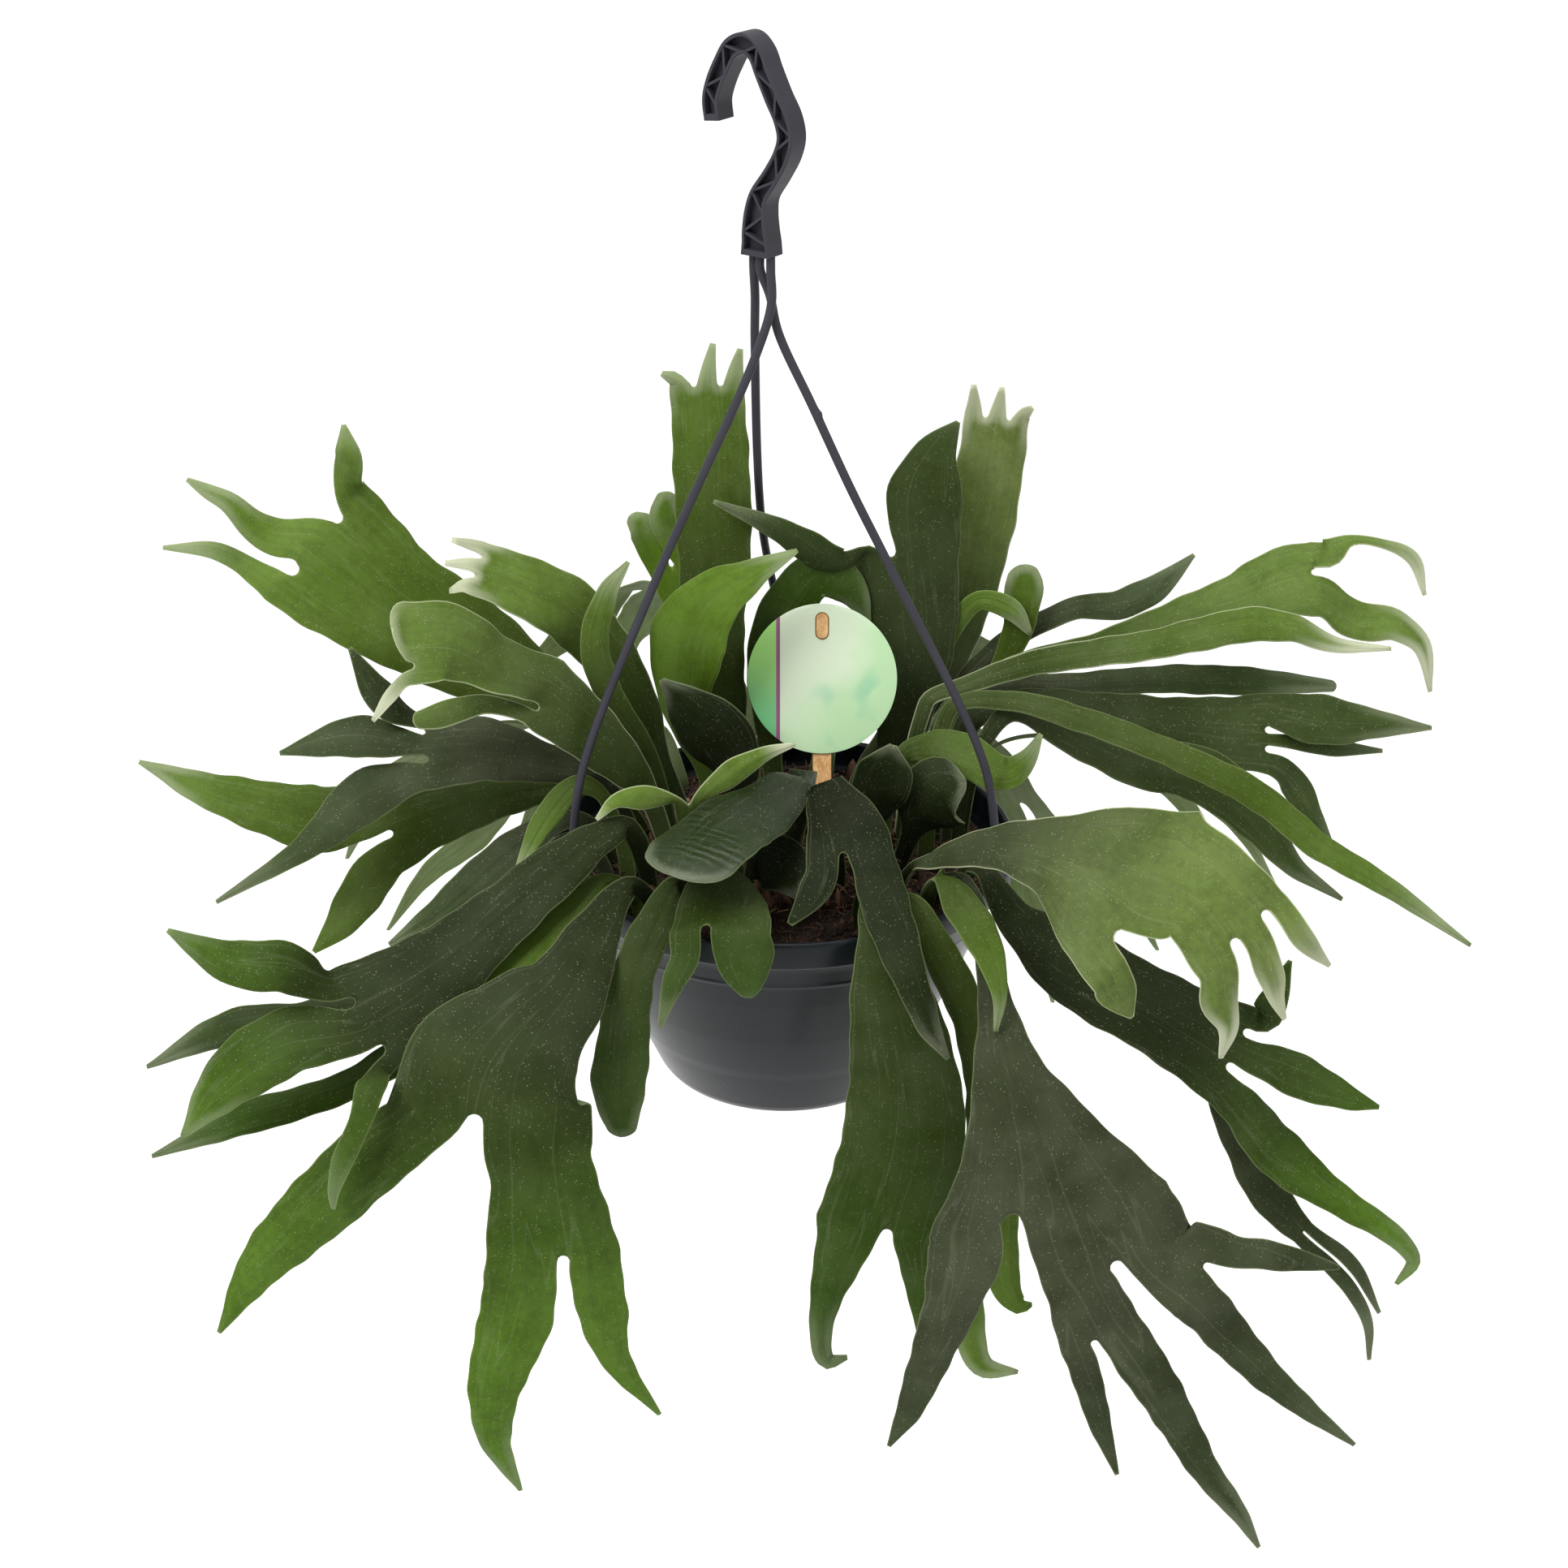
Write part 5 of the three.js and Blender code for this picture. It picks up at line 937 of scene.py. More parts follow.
@dataclass
class Blade:
    """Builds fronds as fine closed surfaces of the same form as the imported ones."""

    blade: float = 1.1
    stipe: float = 2.4
    stipe_half: float = 3.2
    stipe_rows: tuple[float, ...] = (-12.0, -2.0, 4.0)
    stipe_ease: float = 40.0
    sinus: float = 0.09
    sinus_places: tuple[float, ...] = (0.12, 0.32, 0.5, 0.68, 0.88)
    sinus_reach: tuple[float, float] = (4.0, 5.0)
    sinus_share: float = 0.7
    cup: float = 0.14
    edge_level: float = 0.33
    wave: float = 0.1
    wave_length: float = 13.0
    wave_lag: float = 1.5
    uneven: float = 0.22
    uneven_waves: tuple[tuple[float, float, float], ...] = ((4.1, 2.0, 2.3), (2.3, 0.0, -1.7))
    uneven_half: float = 9.0
    row_step: float = 2.3
    least_rows: int = 4
    column_step: float = 2.5
    column_counts: tuple[int, int] = (4, 18)
    edge_columns: tuple[float, float] = (0.94, 0.86)
    blunt: float = 1.5
    taper: float = 0.65
    tip_rows: int = 7
    phase_step: float = 1.7
    tint_step: float = 0.618
    flow_half: float = 20.0

    def shares(self, lobes: list[Lobe]) -> list[tuple[float, float]]:
        """The stretch of the last row, from -1 to 1, that each lobe grows from; a sinus parts two lobes."""
        widths = np.array([lobe.run[0][3] for lobe in lobes], float)
        room = 2 * (1 - self.sinus * (len(lobes) - 1)) * widths / widths.sum()
        ends = np.cumsum(room + 2 * self.sinus) - 2 * self.sinus
        return list(zip(ends - room - 1, ends - 1))

    def columns(self, run: Frond | Lobe) -> tuple[np.ndarray, np.ndarray]:
        """The blade's columns.

        Args:
            run: a stretch of blade.

        Returns:
            The columns from -1 to 1, and how deep each is in a sinus, from 0 at its sides to 1 in its middle.
        """
        if not run.lobes:
            widest = max(station[3] for station in run.run)
            count = int(np.clip(round(2 * widest / self.column_step), *self.column_counts))
            outer, inner = self.edge_columns
            plain = np.concatenate([[-1, -outer], np.linspace(-inner, inner, count), [outer, 1]])
            return plain, np.zeros(len(plain))
        places, depths = [], []
        shares = self.shares(run.lobes)
        t = np.array(self.sinus_places)
        for i, (lobe, (low, high)) in enumerate(zip(run.lobes, shares)):
            own, _ = self.columns(lobe)
            places.append(low + (high - low) * (own + 1) / 2)
            depths.append(np.zeros(len(own)))
            if i + 1 < len(shares):
                places.append(high + (shares[i + 1][0] - high) * t)
                depths.append(np.sqrt(1 - (2 * t - 1) ** 2))
        return np.concatenate(places), np.concatenate(depths)

    def margins(self, distance: np.ndarray, far: np.ndarray, halves: np.ndarray, v: np.ndarray,
                phase: float) -> tuple[np.ndarray, np.ndarray]:
        """How the margins stray from a plain blade.

        Args:
            distance, far: how far each point is along its run, and from the foot.
            halves: the half width there.
            v: each column's place, from -1 to 1.
            phase: where the frond's waves start.

        Returns:
            The rise as a share of the half width, and how much wider each half is, in millimetres.
        """
        wave = self.wave * v * v * np.sin(distance / self.wave_length + phase + self.wave_lag * v)
        uneven = sum(np.sin(far / length + turn * phase + lag * v) for length, turn, lag in self.uneven_waves)
        return (wave - self.cup * (v * v - self.edge_level),
                self.uneven * uneven * v * v * smooth(halves / self.uneven_half))

    def grow(self, form: "LeafForm", frond: Frond, phase: float, run: Frond | Lobe, seam: np.ndarray,
             lead: np.ndarray, start: float, lines: np.ndarray) -> None:
        """Grows a run from its seam, and its lobes from the run's last row.

        A point at a distance d along the run and a share v across it is the middle line's place, plus v half
        widths to the side, plus a half width upwards times a slow wave at the margins less the cup of the
        blade, v squared. What the seam's points miss of that fades over the first half. In a sinus the last
        rows are drawn back by half the sinus's width, as a half circle.

        Args:
            form: the leaf under construction.
            frond: the frond that the run belongs to.
            phase: where its waves start.
            run: the stretch to grow.
            seam: the numbers of the points that it starts from.
            lead: the direction in which the run before it ends.
            start: how far the seam is from the foot.
            lines: the flow line of each column, in millimetres.
        """
        base = form.points[seam]
        middle, half = (base[0] + base[-1]) / 2, np.linalg.norm(base[-1] - base[0]) / 2
        line = BladeLine(np.array([(*middle, half), *run.run], float), lead)
        columns, sinuses = self.columns(run)
        root = run is frond
        rows = max(self.least_rows, round(line.length / self.row_step))
        places = np.linspace(0, line.length, rows + 1)
        half_end = max(run.run[-1][3], LEAST_HALF)
        taper = self.taper * half_end
        rounds = not run.lobes and half_end > self.blunt
        if rounds:
            turn = np.sin(np.linspace(0, np.pi / 2, self.tip_rows))
            plain = places[places < line.length - taper]
            places = np.concatenate([plain, line.length - taper * (1 - turn[:-1]), [line.length]])
        distance = np.broadcast_to(places[:, None], (len(places), len(columns)))
        if run.lobes:
            draw = self.sinus * half_end
            least, times = self.sinus_reach
            reach = min(line.length * self.sinus_share, least + times * draw)
            distance = distance - smooth((distance - (line.length - reach)) / reach) * draw * sinuses
        centre, ahead, halves = line.at(distance)
        if rounds:
            end = np.clip((distance - line.length + taper) / taper, 0, 0.999)
            halves = halves * np.sqrt(1 - end ** 2)
        turned = (distance / line.length)[..., None] if root else np.ones(distance.shape + (1,))
        facing = np.array(frond.face) * (1 - turned) + np.array(frond.tip_face or frond.face) * turned
        side = unit(np.cross(ahead, facing))
        up = np.cross(side, ahead)
        v = columns[None]
        far = start + distance
        rise, wider = self.margins(distance, far, halves, v, phase)
        points = centre + side * (v * (halves + wider))[..., None] + up * (halves * rise)[..., None]
        keep = 1 - smooth(2 * distance / line.length)
        points = points + keep[..., None] * (base - points[0])
        stipe = 1 - smooth(distance / self.stipe_ease) if root else np.zeros(distance.shape)
        thick = self.blade + (self.stipe - self.blade) * stipe
        flow = np.stack([np.broadcast_to(lines, distance.shape), far], axis=-1)
        row = form.extend(seam, points[1:], flow[1:], thick[1:])
        _, ahead_end, _ = line.at(np.array(line.length))
        first = 0
        for lobe in run.lobes:
            count = len(self.columns(lobe)[0])
            part = slice(first, first + count)
            self.grow(form, frond, phase, lobe, row[part], ahead_end, start + line.length, lines[part])
            first += count + len(self.sinus_places)

    def build(self, name: str, frond: Frond, number: int, material: bpy.types.Material) -> bpy.types.Object:
        """One frond from the bottom of its stipe to its tips.

        Args:
            name: the frond's name.
            frond: its stations.
            number: its place in the table, which sets its waves and its tint.
            material: its finish.

        Returns:
            The piece.
        """
        form = LeafForm()
        columns, _ = self.columns(frond)
        across = unit(np.array([-frond.face[1], frond.face[0], 0.0]))
        lines = columns * self.flow_half
        heights = SOIL_LEVEL + np.array(self.stipe_rows)
        grid = np.stack([np.array([*frond.foot, height]) + across * columns[:, None] * self.stipe_half
                         for height in heights])
        rise = grid[:, :, 2] - heights[-1]
        flow = np.stack([np.broadcast_to(lines, rise.shape), rise], axis=-1)
        seam = form.begin(grid, flow, self.stipe)
        self.grow(form, frond, self.phase_step * number, frond, seam, np.array([0, 0, 1.0]), 0.0, lines)
        tint = (number * self.tint_step) % 1
        return form.piece(f"leaf_{name}", material, "frond", f"frond_{name}", tint)


class LeafForm:
    """A leaf's middle surface and what is known at each of its points."""

    MARGIN_REACH = 3.0
    MARGIN_SHARE = 0.4
    STIPE_SHARE = 0.75
    STIPE_FROM = 1.3
    CHUNK = 1500

    def __init__(self) -> None:
        """Starts an empty surface."""
        self.points = np.zeros((0, 3))
        self.flow = np.zeros((0, 2))
        self.thick = np.zeros(0)
        self.quads: list[np.ndarray] = []

    def begin(self, grid: np.ndarray, flow: np.ndarray, thick: float) -> np.ndarray:
        """Adds the first rows; returns the last row's numbers."""
        numbers = self._add(grid, flow, np.full(grid.shape[:2], thick))
        self.quads.append(cells(numbers))
        return numbers[-1]

    def extend(self, seam: np.ndarray, grid: np.ndarray, flow: np.ndarray, thick: np.ndarray) -> np.ndarray:
        """Adds rows that carry on from a row of points; returns the last row's numbers."""
        numbers = np.concatenate([seam[None], self._add(grid, flow, thick)])
        self.quads.append(cells(numbers))
        return numbers[-1]

    def _add(self, grid: np.ndarray, flow: np.ndarray, thick: np.ndarray) -> np.ndarray:
        """Adds a grid of points; returns their numbers."""
        first = len(self.points)
        self.points = np.concatenate([self.points, grid.reshape(-1, 3)])
        self.flow = np.concatenate([self.flow, flow.reshape(-1, 2)])
        self.thick = np.concatenate([self.thick, thick.reshape(-1)])
        return np.arange(first, len(self.points)).reshape(grid.shape[:2])

    def margin(self, quads: np.ndarray) -> np.ndarray:
        """The margin's edges, from point to point: those that belong to one cell only."""
        edges = np.concatenate([np.stack([quads[:, k], quads[:, (k + 1) % 4]], axis=1) for k in range(4)])
        key = np.sort(edges, axis=1) @ np.array([len(self.points), 1])
        _, index, count = np.unique(key, return_index=True, return_counts=True)
        return edges[index[count == 1]]

    def normals(self, quads: np.ndarray) -> np.ndarray:
        """Each point's direction out of the surface: the mean of its cells' normals."""
        corners = self.points[quads]
        normal = np.cross(corners[:, 2] - corners[:, 0], corners[:, 3] - corners[:, 1])
        total = np.zeros_like(self.points)
        for k in range(4):
            np.add.at(total, quads[:, k], normal)
        return unit(total)

    def piece(self, name: str, material: bpy.types.Material, slot: str, node: str,
              tint: float) -> bpy.types.Object:
        """Gives the surface its two faces and its margin, and makes the piece.

        The thickness falls towards the margin as the square root of the distance from it, over three
        millimetres. Each face is half of it from the middle surface, along the mean of the cells' normals.

        Args:
            name, material, slot: as for Form.piece.
            node: the CAD node that the leaf replaces.
            tint: the leaf's own number from 0 to 1, which shifts its green.

        Returns:
            The piece.
        """
        quads = np.concatenate(self.quads)
        edges = self.margin(quads)
        margin = self.points[np.unique(edges)]
        chunks = np.array_split(self.points, max(1, len(self.points) // self.CHUNK))
        rim = np.concatenate([np.linalg.norm(chunk[:, None] - margin[None], axis=-1).min(axis=1)
                              for chunk in chunks])
        fall = self.MARGIN_SHARE + (1 - self.MARGIN_SHARE) * np.sqrt(np.clip(rim / self.MARGIN_REACH, 0, 1))
        fall = np.where(self.thick > self.STIPE_FROM, np.maximum(fall, self.STIPE_SHARE), fall)
        lift = self.normals(quads) * (self.thick * fall / 2)[:, None]
        total = len(self.points)
        reach = np.clip(self.flow[:, 1] / self.flow[:, 1].max(), 0, 1)
        form = Form()
        for side, upper in ((1, 1.0), (-1, 0.0)):
            form.add(self.points + side * lift, self.flow * MM, rim=rim, reach=reach, upper=upper, tint=tint)
        form.faces.append(quads)
        form.faces.append(quads[:, ::-1] + total)
        a, b = edges.T
        form.faces.append(np.stack([a, a + total, b + total, b], axis=1))
        return form.piece(name, material, slot, (node,))


@dataclass
class Pot:
    """The moulded pot: a lathed shell with a deep collar, a bead under it and drain holes in its floor."""

    outside: tuple[tuple[float, float], ...] = (
        (45, 0), (48.5, 1.2), (50.5, 4), (58, 21), (60, 25), (68, 43), (76.5, 64), (82.5, 80))
    bead: tuple[tuple[float, float], ...] = ((80.2, 73.9), (80.9, 75.1), (81.1, 76.3), (82.5, 80))
    collar_height: float = 11.0
    collar_inside: float = 4.4
    softness: float = 0.9
    floor_inside: float = 14.0
    segments: int = 160
    sharp: float = 40.0
    drain_radius: float = 4.0
    drain_circle: float = 28.0
    drain_depths: tuple[float, float] = (-6, 9)
    drain_segments: int = 32
    drains: int = 5

    def outline(self) -> np.ndarray:
        """The wall's section as (radius, height), from the floor outside, over the rim, and back."""
        foot = RIM_HEIGHT - self.collar_height
        inside = [(radius - WALL, height + WALL) for radius, height in reversed(self.outside[1:])]
        floor_top = inside[-1][1]
        rim = [(RIM_RADIUS - inset, RIM_HEIGHT - drop)
               for inset, drop in ((0.4, 1), (1.2, 0), (2.6, 0), (3.4, 1))]
        corners = [
            (0, 0), *self.outside[:-1], *self.bead, (84.5, foot - 0.6), (RIM_RADIUS - 1.6, foot), *rim,
            (RIM_RADIUS - self.collar_inside, foot + 1), *inside, (0, floor_top)]
        wall = rounded(np.array(corners, float), self.softness)[CORNER_STEPS:-CORNER_STEPS]
        return np.concatenate([[(self.floor_inside, 0)], wall, [(self.floor_inside, floor_top)]])

    def shell(self) -> bpy.types.Object:
        """Turns the section round the axis: x is radius times cosine and y is radius times sine."""
        radius, height = self.outline().T[..., None]
        angle = np.linspace(0, 2 * math.pi, self.segments, endpoint=False)
        form = Form()
        form.sweep(np.stack([radius * np.cos(angle), radius * np.sin(angle), height + 0 * angle], axis=-1))
        made = form.piece("pot_shell", PLASTIC.material("pot_plastic_satin"), "pot_plastic", ("pot",),
                          sharp=self.sharp)
        self.drill(made)
        return made

    def drill(self, made: bpy.types.Object) -> None:
        """Cuts the round drain holes through the floor, on a circle round the middle."""
        angle = np.linspace(0, 2 * math.pi, self.drain_segments, endpoint=False)
        circle = np.stack([np.cos(angle), np.sin(angle), 0 * angle], axis=-1) * self.drain_radius
        cutters = Form()
        for turn in np.linspace(0, 2 * math.pi, self.drains, endpoint=False):
            centre = np.array([math.cos(turn), math.sin(turn), 0]) * self.drain_circle
            cutters.sweep(np.stack([circle + centre + (0, 0, height) for height in self.drain_depths]))
        tool = cutters.make("drain_cutters", made.data.materials[0])
        cut = made.modifiers.new("drains", "BOOLEAN")
        cut.operation, cut.solver, cut.object = "DIFFERENCE", "EXACT", tool
        graph = bpy.context.evaluated_depsgraph_get()
        mesh = bpy.data.meshes.new_from_object(made.evaluated_get(graph))
        made.modifiers.clear()
        made.data = mesh
        bpy.data.objects.remove(tool)


@dataclass
class Crown:
    """The loose fibres, crumbs and dry scales on the soil, heaped round the stems."""

    edge: float = 80.5
    threads: int = 1500
    thread_length: Span = (5, 13)
    thread_bend: Span = (-1.3, 2.6)
    thread_rise: Span = (0.6, 2.4)
    thread_radius: Span = (0.1, 0.14)
    crumbs: int = 1700
    crumb_size: Span = (0.5, 1.3)
    crumb_sides: Span = (0.6, 0.6)
    scales: int = 160
    scale_reach: float = 62.0
    scale_length: Span = (5, 8)
    scale_width: Span = (1.0, 1.6)
    scale_lean: Span = (0.5, 0.9)
    scale_curl: float = 1.6
    scale_thickness: float = 0.16
    scale_ridge: float = 2.4
    heap: float = 4.0
    heap_reach: float = 9.0
    stem_clear: float = 3.4
    seed: int = 11

    @staticmethod
    def drawn(dice: np.random.Generator, count: int, span: Span, power: int = 1,
              columns: int = 1) -> np.ndarray:
        """Draws random sizes.

        Args:
            dice: the seeded generator.
            count, columns: how many rows and columns of them.
            span: the smallest size, and how much larger one can be.
            power: how far small ones prevail.

        Returns:
            The sizes.
        """
        least, more = span
        return least + more * dice.random((count, columns)) ** power

    def level(self, x: np.ndarray, y: np.ndarray) -> np.ndarray:
        """The soil's height: its level and three slow waves."""
        return SOIL_LEVEL + 0.7 * np.sin(x / 9 + 1) * np.cos(y / 11) + 0.5 * np.sin(x / 5 - y / 6)

    def spread(self, dice: np.random.Generator, count: int, reach: float) -> np.ndarray:
        """Scatters points over the soil, heaped near the feet of the fronds, none inside a stem.

        Args:
            dice: the seeded generator.
            count: how many.
            reach: how far from the middle they may lie, in millimetres.

        Returns:
            The points, one a row.
        """
        feet = np.array([frond.foot for frond in FRONDS.values()], float)
        radius = reach * np.sqrt(dice.random(3 * count))
        turn = 2 * math.pi * dice.random(3 * count)
        flat = np.stack([radius * np.cos(turn), radius * np.sin(turn)], axis=-1)
        near = np.linalg.norm(flat[:, None] - feet[None], axis=-1).min(axis=1)
        clear = near > self.stem_clear
        flat, near = flat[clear][:count], near[clear][:count]
        heap = self.heap * np.exp(-((near - self.stem_clear) / self.heap_reach) ** 2)
        heap = heap * dice.random(len(flat))
        return np.concatenate([flat, (self.level(flat[:, 0], flat[:, 1]) + heap)[:, None]], axis=1)

    def held(self, points: np.ndarray) -> np.ndarray:
        """Points drawn in level to the pot's wall where they lie beyond it."""
        flat = np.linalg.norm(points[..., :2], axis=-1, keepdims=True)
        share = np.minimum(1, self.edge / np.maximum(flat, 1e-6))
        return np.concatenate([points[..., :2] * share, points[..., 2:]], axis=-1)

    def tubes(self, form: Form, rings: np.ndarray, shade: np.ndarray, clockwise: bool = False) -> None:
        """Adds many thin tubes at once, each closed by a flat face at both ends.

        Args:
            form: where they go.
            rings: the points, by tube, ring and corner.
            shade: each tube's shade number.
            clockwise: whether the corners run clockwise seen from the tube's far end.
        """
        count, steps, corners = rings.shape[:3]
        first = form.add(rings, shade=np.repeat(shade, steps * corners))
        table = np.arange(count * steps * corners).reshape(count, steps, corners) + first
        closed = np.concatenate([table, table[:, :, :1]], axis=2)
        low, high = closed[:, :-1], closed[:, 1:]
        quads = np.stack([low[..., :-1], low[..., 1:], high[..., 1:], high[..., :-1]], axis=-1)
        for faces in (quads.reshape(-1, 4), table[:, 0, ::-1], table[:, -1]):
            form.faces.append(faces[:, ::-1] if clockwise else faces)

    def thread_form(self, form: Form, dice: np.random.Generator) -> None:
        """Adds the fibres: three-sided tubes along nearly level arcs, each bent and turned its own way."""
        start = self.spread(dice, self.threads, self.edge - 6)
        count, steps, corners = len(start), 7, 3
        turn = 2 * math.pi * dice.random(count)[:, None]
        length = self.drawn(dice, count, self.thread_length, 2)
        bend = self.drawn(dice, count, self.thread_bend)
        rise = self.drawn(dice, count, self.thread_rise, 2)
        t = np.linspace(0, 1, steps)[None]
        heading = turn + bend * t
        across = np.cumsum(np.cos(heading), axis=1) / steps * length
        deep = np.cumsum(np.sin(heading), axis=1) / steps * length
        up = rise * np.sin(math.pi * t) * (0.4 + 0.6 * np.sin(5 * t + turn) ** 2)
        middle = self.held(np.stack([across, deep, up], axis=-1) + start[:, None])
        side = np.stack([-np.sin(heading), np.cos(heading), np.zeros_like(heading)], axis=-1)
        radius = self.drawn(dice, count, self.thread_radius) * (1.15 - 0.8 * t)
        corner = 2 * math.pi * np.arange(corners)[:, None] / corners
        ring = np.cos(corner) * side[:, :, None] + np.sin(corner) * np.array([0, 0, 1.0])
        self.tubes(form, middle[:, :, None] + radius[..., None, None] * ring, dice.random(count))

    def crumb_form(self, form: Form, dice: np.random.Generator) -> None:
        """Adds the crumbs: eight-faced lumps, each with its own three sizes, turn and place."""
        place = self.spread(dice, self.crumbs, self.edge - 1.5)
        count = len(place)
        corners = np.array([(1, 0, 0), (0, 1, 0), (-1, 0, 0), (0, -1, 0), (0, 0, 1), (0, 0, -1)], float)
        upper = [(k, (k + 1) % 4, 4) for k in range(4)]
        faces = np.array(upper + [(b, a, 5) for a, b, _ in upper])
        size = self.drawn(dice, count, self.crumb_size, 2)
        size = size * self.drawn(dice, count, self.crumb_sides, columns=3)
        jitter = 1 + 0.5 * (dice.random((count, len(corners), 1)) - 0.5)
        turn = 2 * math.pi * dice.random(count)[:, None]
        lump = corners[None] * size[:, None] * jitter
        x, y, z = np.moveaxis(lump, -1, 0)
        turned = (x * np.cos(turn) - y * np.sin(turn), x * np.sin(turn) + y * np.cos(turn), z)
        points = np.stack(turned, axis=-1) + place[:, None]
        first = form.add(points, shade=np.repeat(dice.random(count) * 0.75, len(corners)))
        firsts = first + len(corners) * np.arange(count)
        form.faces.append((faces[None] + firsts[:, None, None]).reshape(-1, 3))

    def scale_form(self, form: Form, dice: np.random.Generator) -> None:
        """Adds the dry scales: thin curled flakes that lean against the stems, as two-sided strips."""
        place = self.spread(dice, self.scales, self.scale_reach)
        count, steps = len(place), 6
        turn = 2 * math.pi * dice.random(count)[:, None]
        length = self.drawn(dice, count, self.scale_length)
        width = self.drawn(dice, count, self.scale_width)
        t = np.linspace(0, 1, steps)[None]
        lean = self.drawn(dice, count, self.scale_lean) * (self.scale_curl - t)
        ahead = np.cumsum(np.cos(lean), axis=1) / steps * length
        up = np.cumsum(np.sin(lean), axis=1) / steps * length
        cos, sin = np.cos(turn), np.sin(turn)
        middle = self.held(np.stack([ahead * cos, ahead * sin, up], axis=-1) + place[:, None])
        side = np.stack([-sin, cos, np.zeros_like(cos)], axis=-1)
        side = side * (width * np.sqrt(np.clip(1 - (2 * t - 0.7) ** 2 / 1.7, 0.02, 1)))[..., None]
        lift = np.array([0, 0, self.scale_thickness])
        ring = [middle + side, middle + lift * self.scale_ridge, middle - side, middle - lift]
        self.tubes(form, np.stack(ring, axis=2), 0.45 + 0.55 * dice.random(count), clockwise=True)

    def build(self, nodes: dict[str, bpy.types.Object]) -> None:
        """Dresses the packed soil and lays the loose bits on it."""
        soil = nodes["soil"]
        soil.data.materials.clear()
        soil.data.materials.append(Peat().material("peat"))
        dice = np.random.default_rng(self.seed)
        husk = Husk().material("coir_and_husk")
        for name, fill in (("soil_threads", self.thread_form), ("soil_crumbs", self.crumb_form),
                           ("dry_scales", self.scale_form)):
            form = Form()
            fill(form, dice)
            form.piece(name, husk, "soil")


@dataclass
class Hook:
    """The moulded hook: a channel section swept along a question mark, with zigzag ribs in both channels."""

    foot: tuple[float, float, float] = (-7, 0, 322)
    turn: float = -35.0
    line: tuple[tuple[float, float, float], ...] = (
        (-0.9, 0, 6), (-0.9, 4, 5.6), (-1.2, 8, 5.2), (-1, 14.7, 4.4), (0.4, 20.6, 3.7), (5.6, 28.2, 3.4),
        (10, 35.6, 3.3), (11.6, 41.6, 3.2), (10.2, 47.8, 3.2), (6.4, 54.6, 3.1), (2.3, 62.7, 3.1),
        (-0.6, 68.6, 3.2), (-4.8, 71.6, 3.5), (-10.2, 69.8, 3.5), (-14.6, 63.4, 3.5), (-18, 56.4, 3.5),
        (-19.4, 51, 3.4), (-18.7, 44.4, 3.3))
    depth: float = 9.0
    border: float = 1.3
    web: float = 2.4
    softness: float = 0.35
    ribs: int = 15
    rib_half: float = 0.45
    rib_overlap: float = 0.5
    rib_root: float = 0.3
    rib_inset: float = 0.25
    ribbed_from: float = 0.06
    ribbed_share: float = 0.9
    pocket: tuple[float, float] = (0.03, 0.98)
    pocket_step: float = 1e-4
    skin: float = 0.02
    steps: int = 110
    sharp: float = 35.0

    def along(self, shares: np.ndarray) -> tuple[np.ndarray, np.ndarray, np.ndarray]:
        """The middle line, the sideways direction in the hook's plane and the half width at each share."""
        line = np.array(self.line, float)
        here = smooth_line(line, shares)
        ahead = unit(smooth_line(line, shares + 1e-3)[:, :2] - smooth_line(line, shares - 1e-3)[:, :2])
        return here[:, :2], np.stack([-ahead[:, 1], ahead[:, 0]], axis=-1), here[:, 2]

    def stand(self, flat: np.ndarray, deep: np.ndarray) -> np.ndarray:
        """Puts points of the hook's plane, at a depth, in their place: turned and raised."""
        angle = math.radians(self.turn)
        x, y = flat[..., 0], -deep
        return np.stack([x * math.cos(angle) - y * math.sin(angle) + self.foot[0],
                         x * math.sin(angle) + y * math.cos(angle) + self.foot[1],
                         flat[..., 1] + self.foot[2]], axis=-1)

    def build(self, material: bpy.types.Material) -> bpy.types.Object:
        """Carries the section, an H of a web and two borders with soft corners, along the line; adds ribs."""
        ends = [share + sign * self.pocket_step for share in self.pocket for sign in (-1, 1)]
        shares = np.sort(np.concatenate([np.linspace(0, 1, self.steps), ends]))
        middle, side, half = self.along(shares)
        deep, soft = self.depth / 2, self.softness
        pocket = (shares > self.pocket[0]) & (shares < self.pocket[1])
        web = np.where(pocket, self.web / 2, deep - self.skin)
        inner = half - self.border
        full = np.full_like(half, deep)
        upper = [(half, full - soft), (half - soft, full), (inner, full), (inner, web)]
        upper = upper + [(-a, b) for a, b in reversed(upper)]
        section = upper + [(-a, -b) for a, b in upper]
        rings = np.stack([self.stand(middle + side * a[:, None], b) for a, b in section], axis=1)
        form = Form()
        form.sweep(rings)
        self.add_ribs(form)
        return form.piece("hook_moulding", material, "hanger_plastic", ("hanger_hook",), sharp=self.sharp)

    def add_ribs(self, form: Form) -> None:
        """Adds each rib as a thin wall from border to border, leaning the other way from the one before."""
        at = self.ribbed_from + self.ribbed_share * np.arange(self.ribs + 1) / self.ribs
        middle, side, half = self.along(at)
        reach = (half - self.rib_overlap)[:, None]
        way = np.where(np.arange(self.ribs) % 2 == 1, 1.0, -1.0)[:, None]
        a = middle[:-1] + side[:-1] * way * reach[:-1]
        b = middle[1:] - side[1:] * way * reach[1:]
        along = unit(b - a)
        across = np.stack([-along[:, 1], along[:, 0]], axis=-1) * self.rib_half
        corners = np.stack([a - across, b - across, b + across, a + across], axis=1)
        depths = (self.web / 2 - self.rib_root, self.depth / 2 - self.rib_inset)
        for sign in (1, -1):
            for corner in corners:
                ends = [self.stand(corner, np.full(4, sign * depth)) for depth in depths]
                form.sweep(np.stack(ends[::sign]))


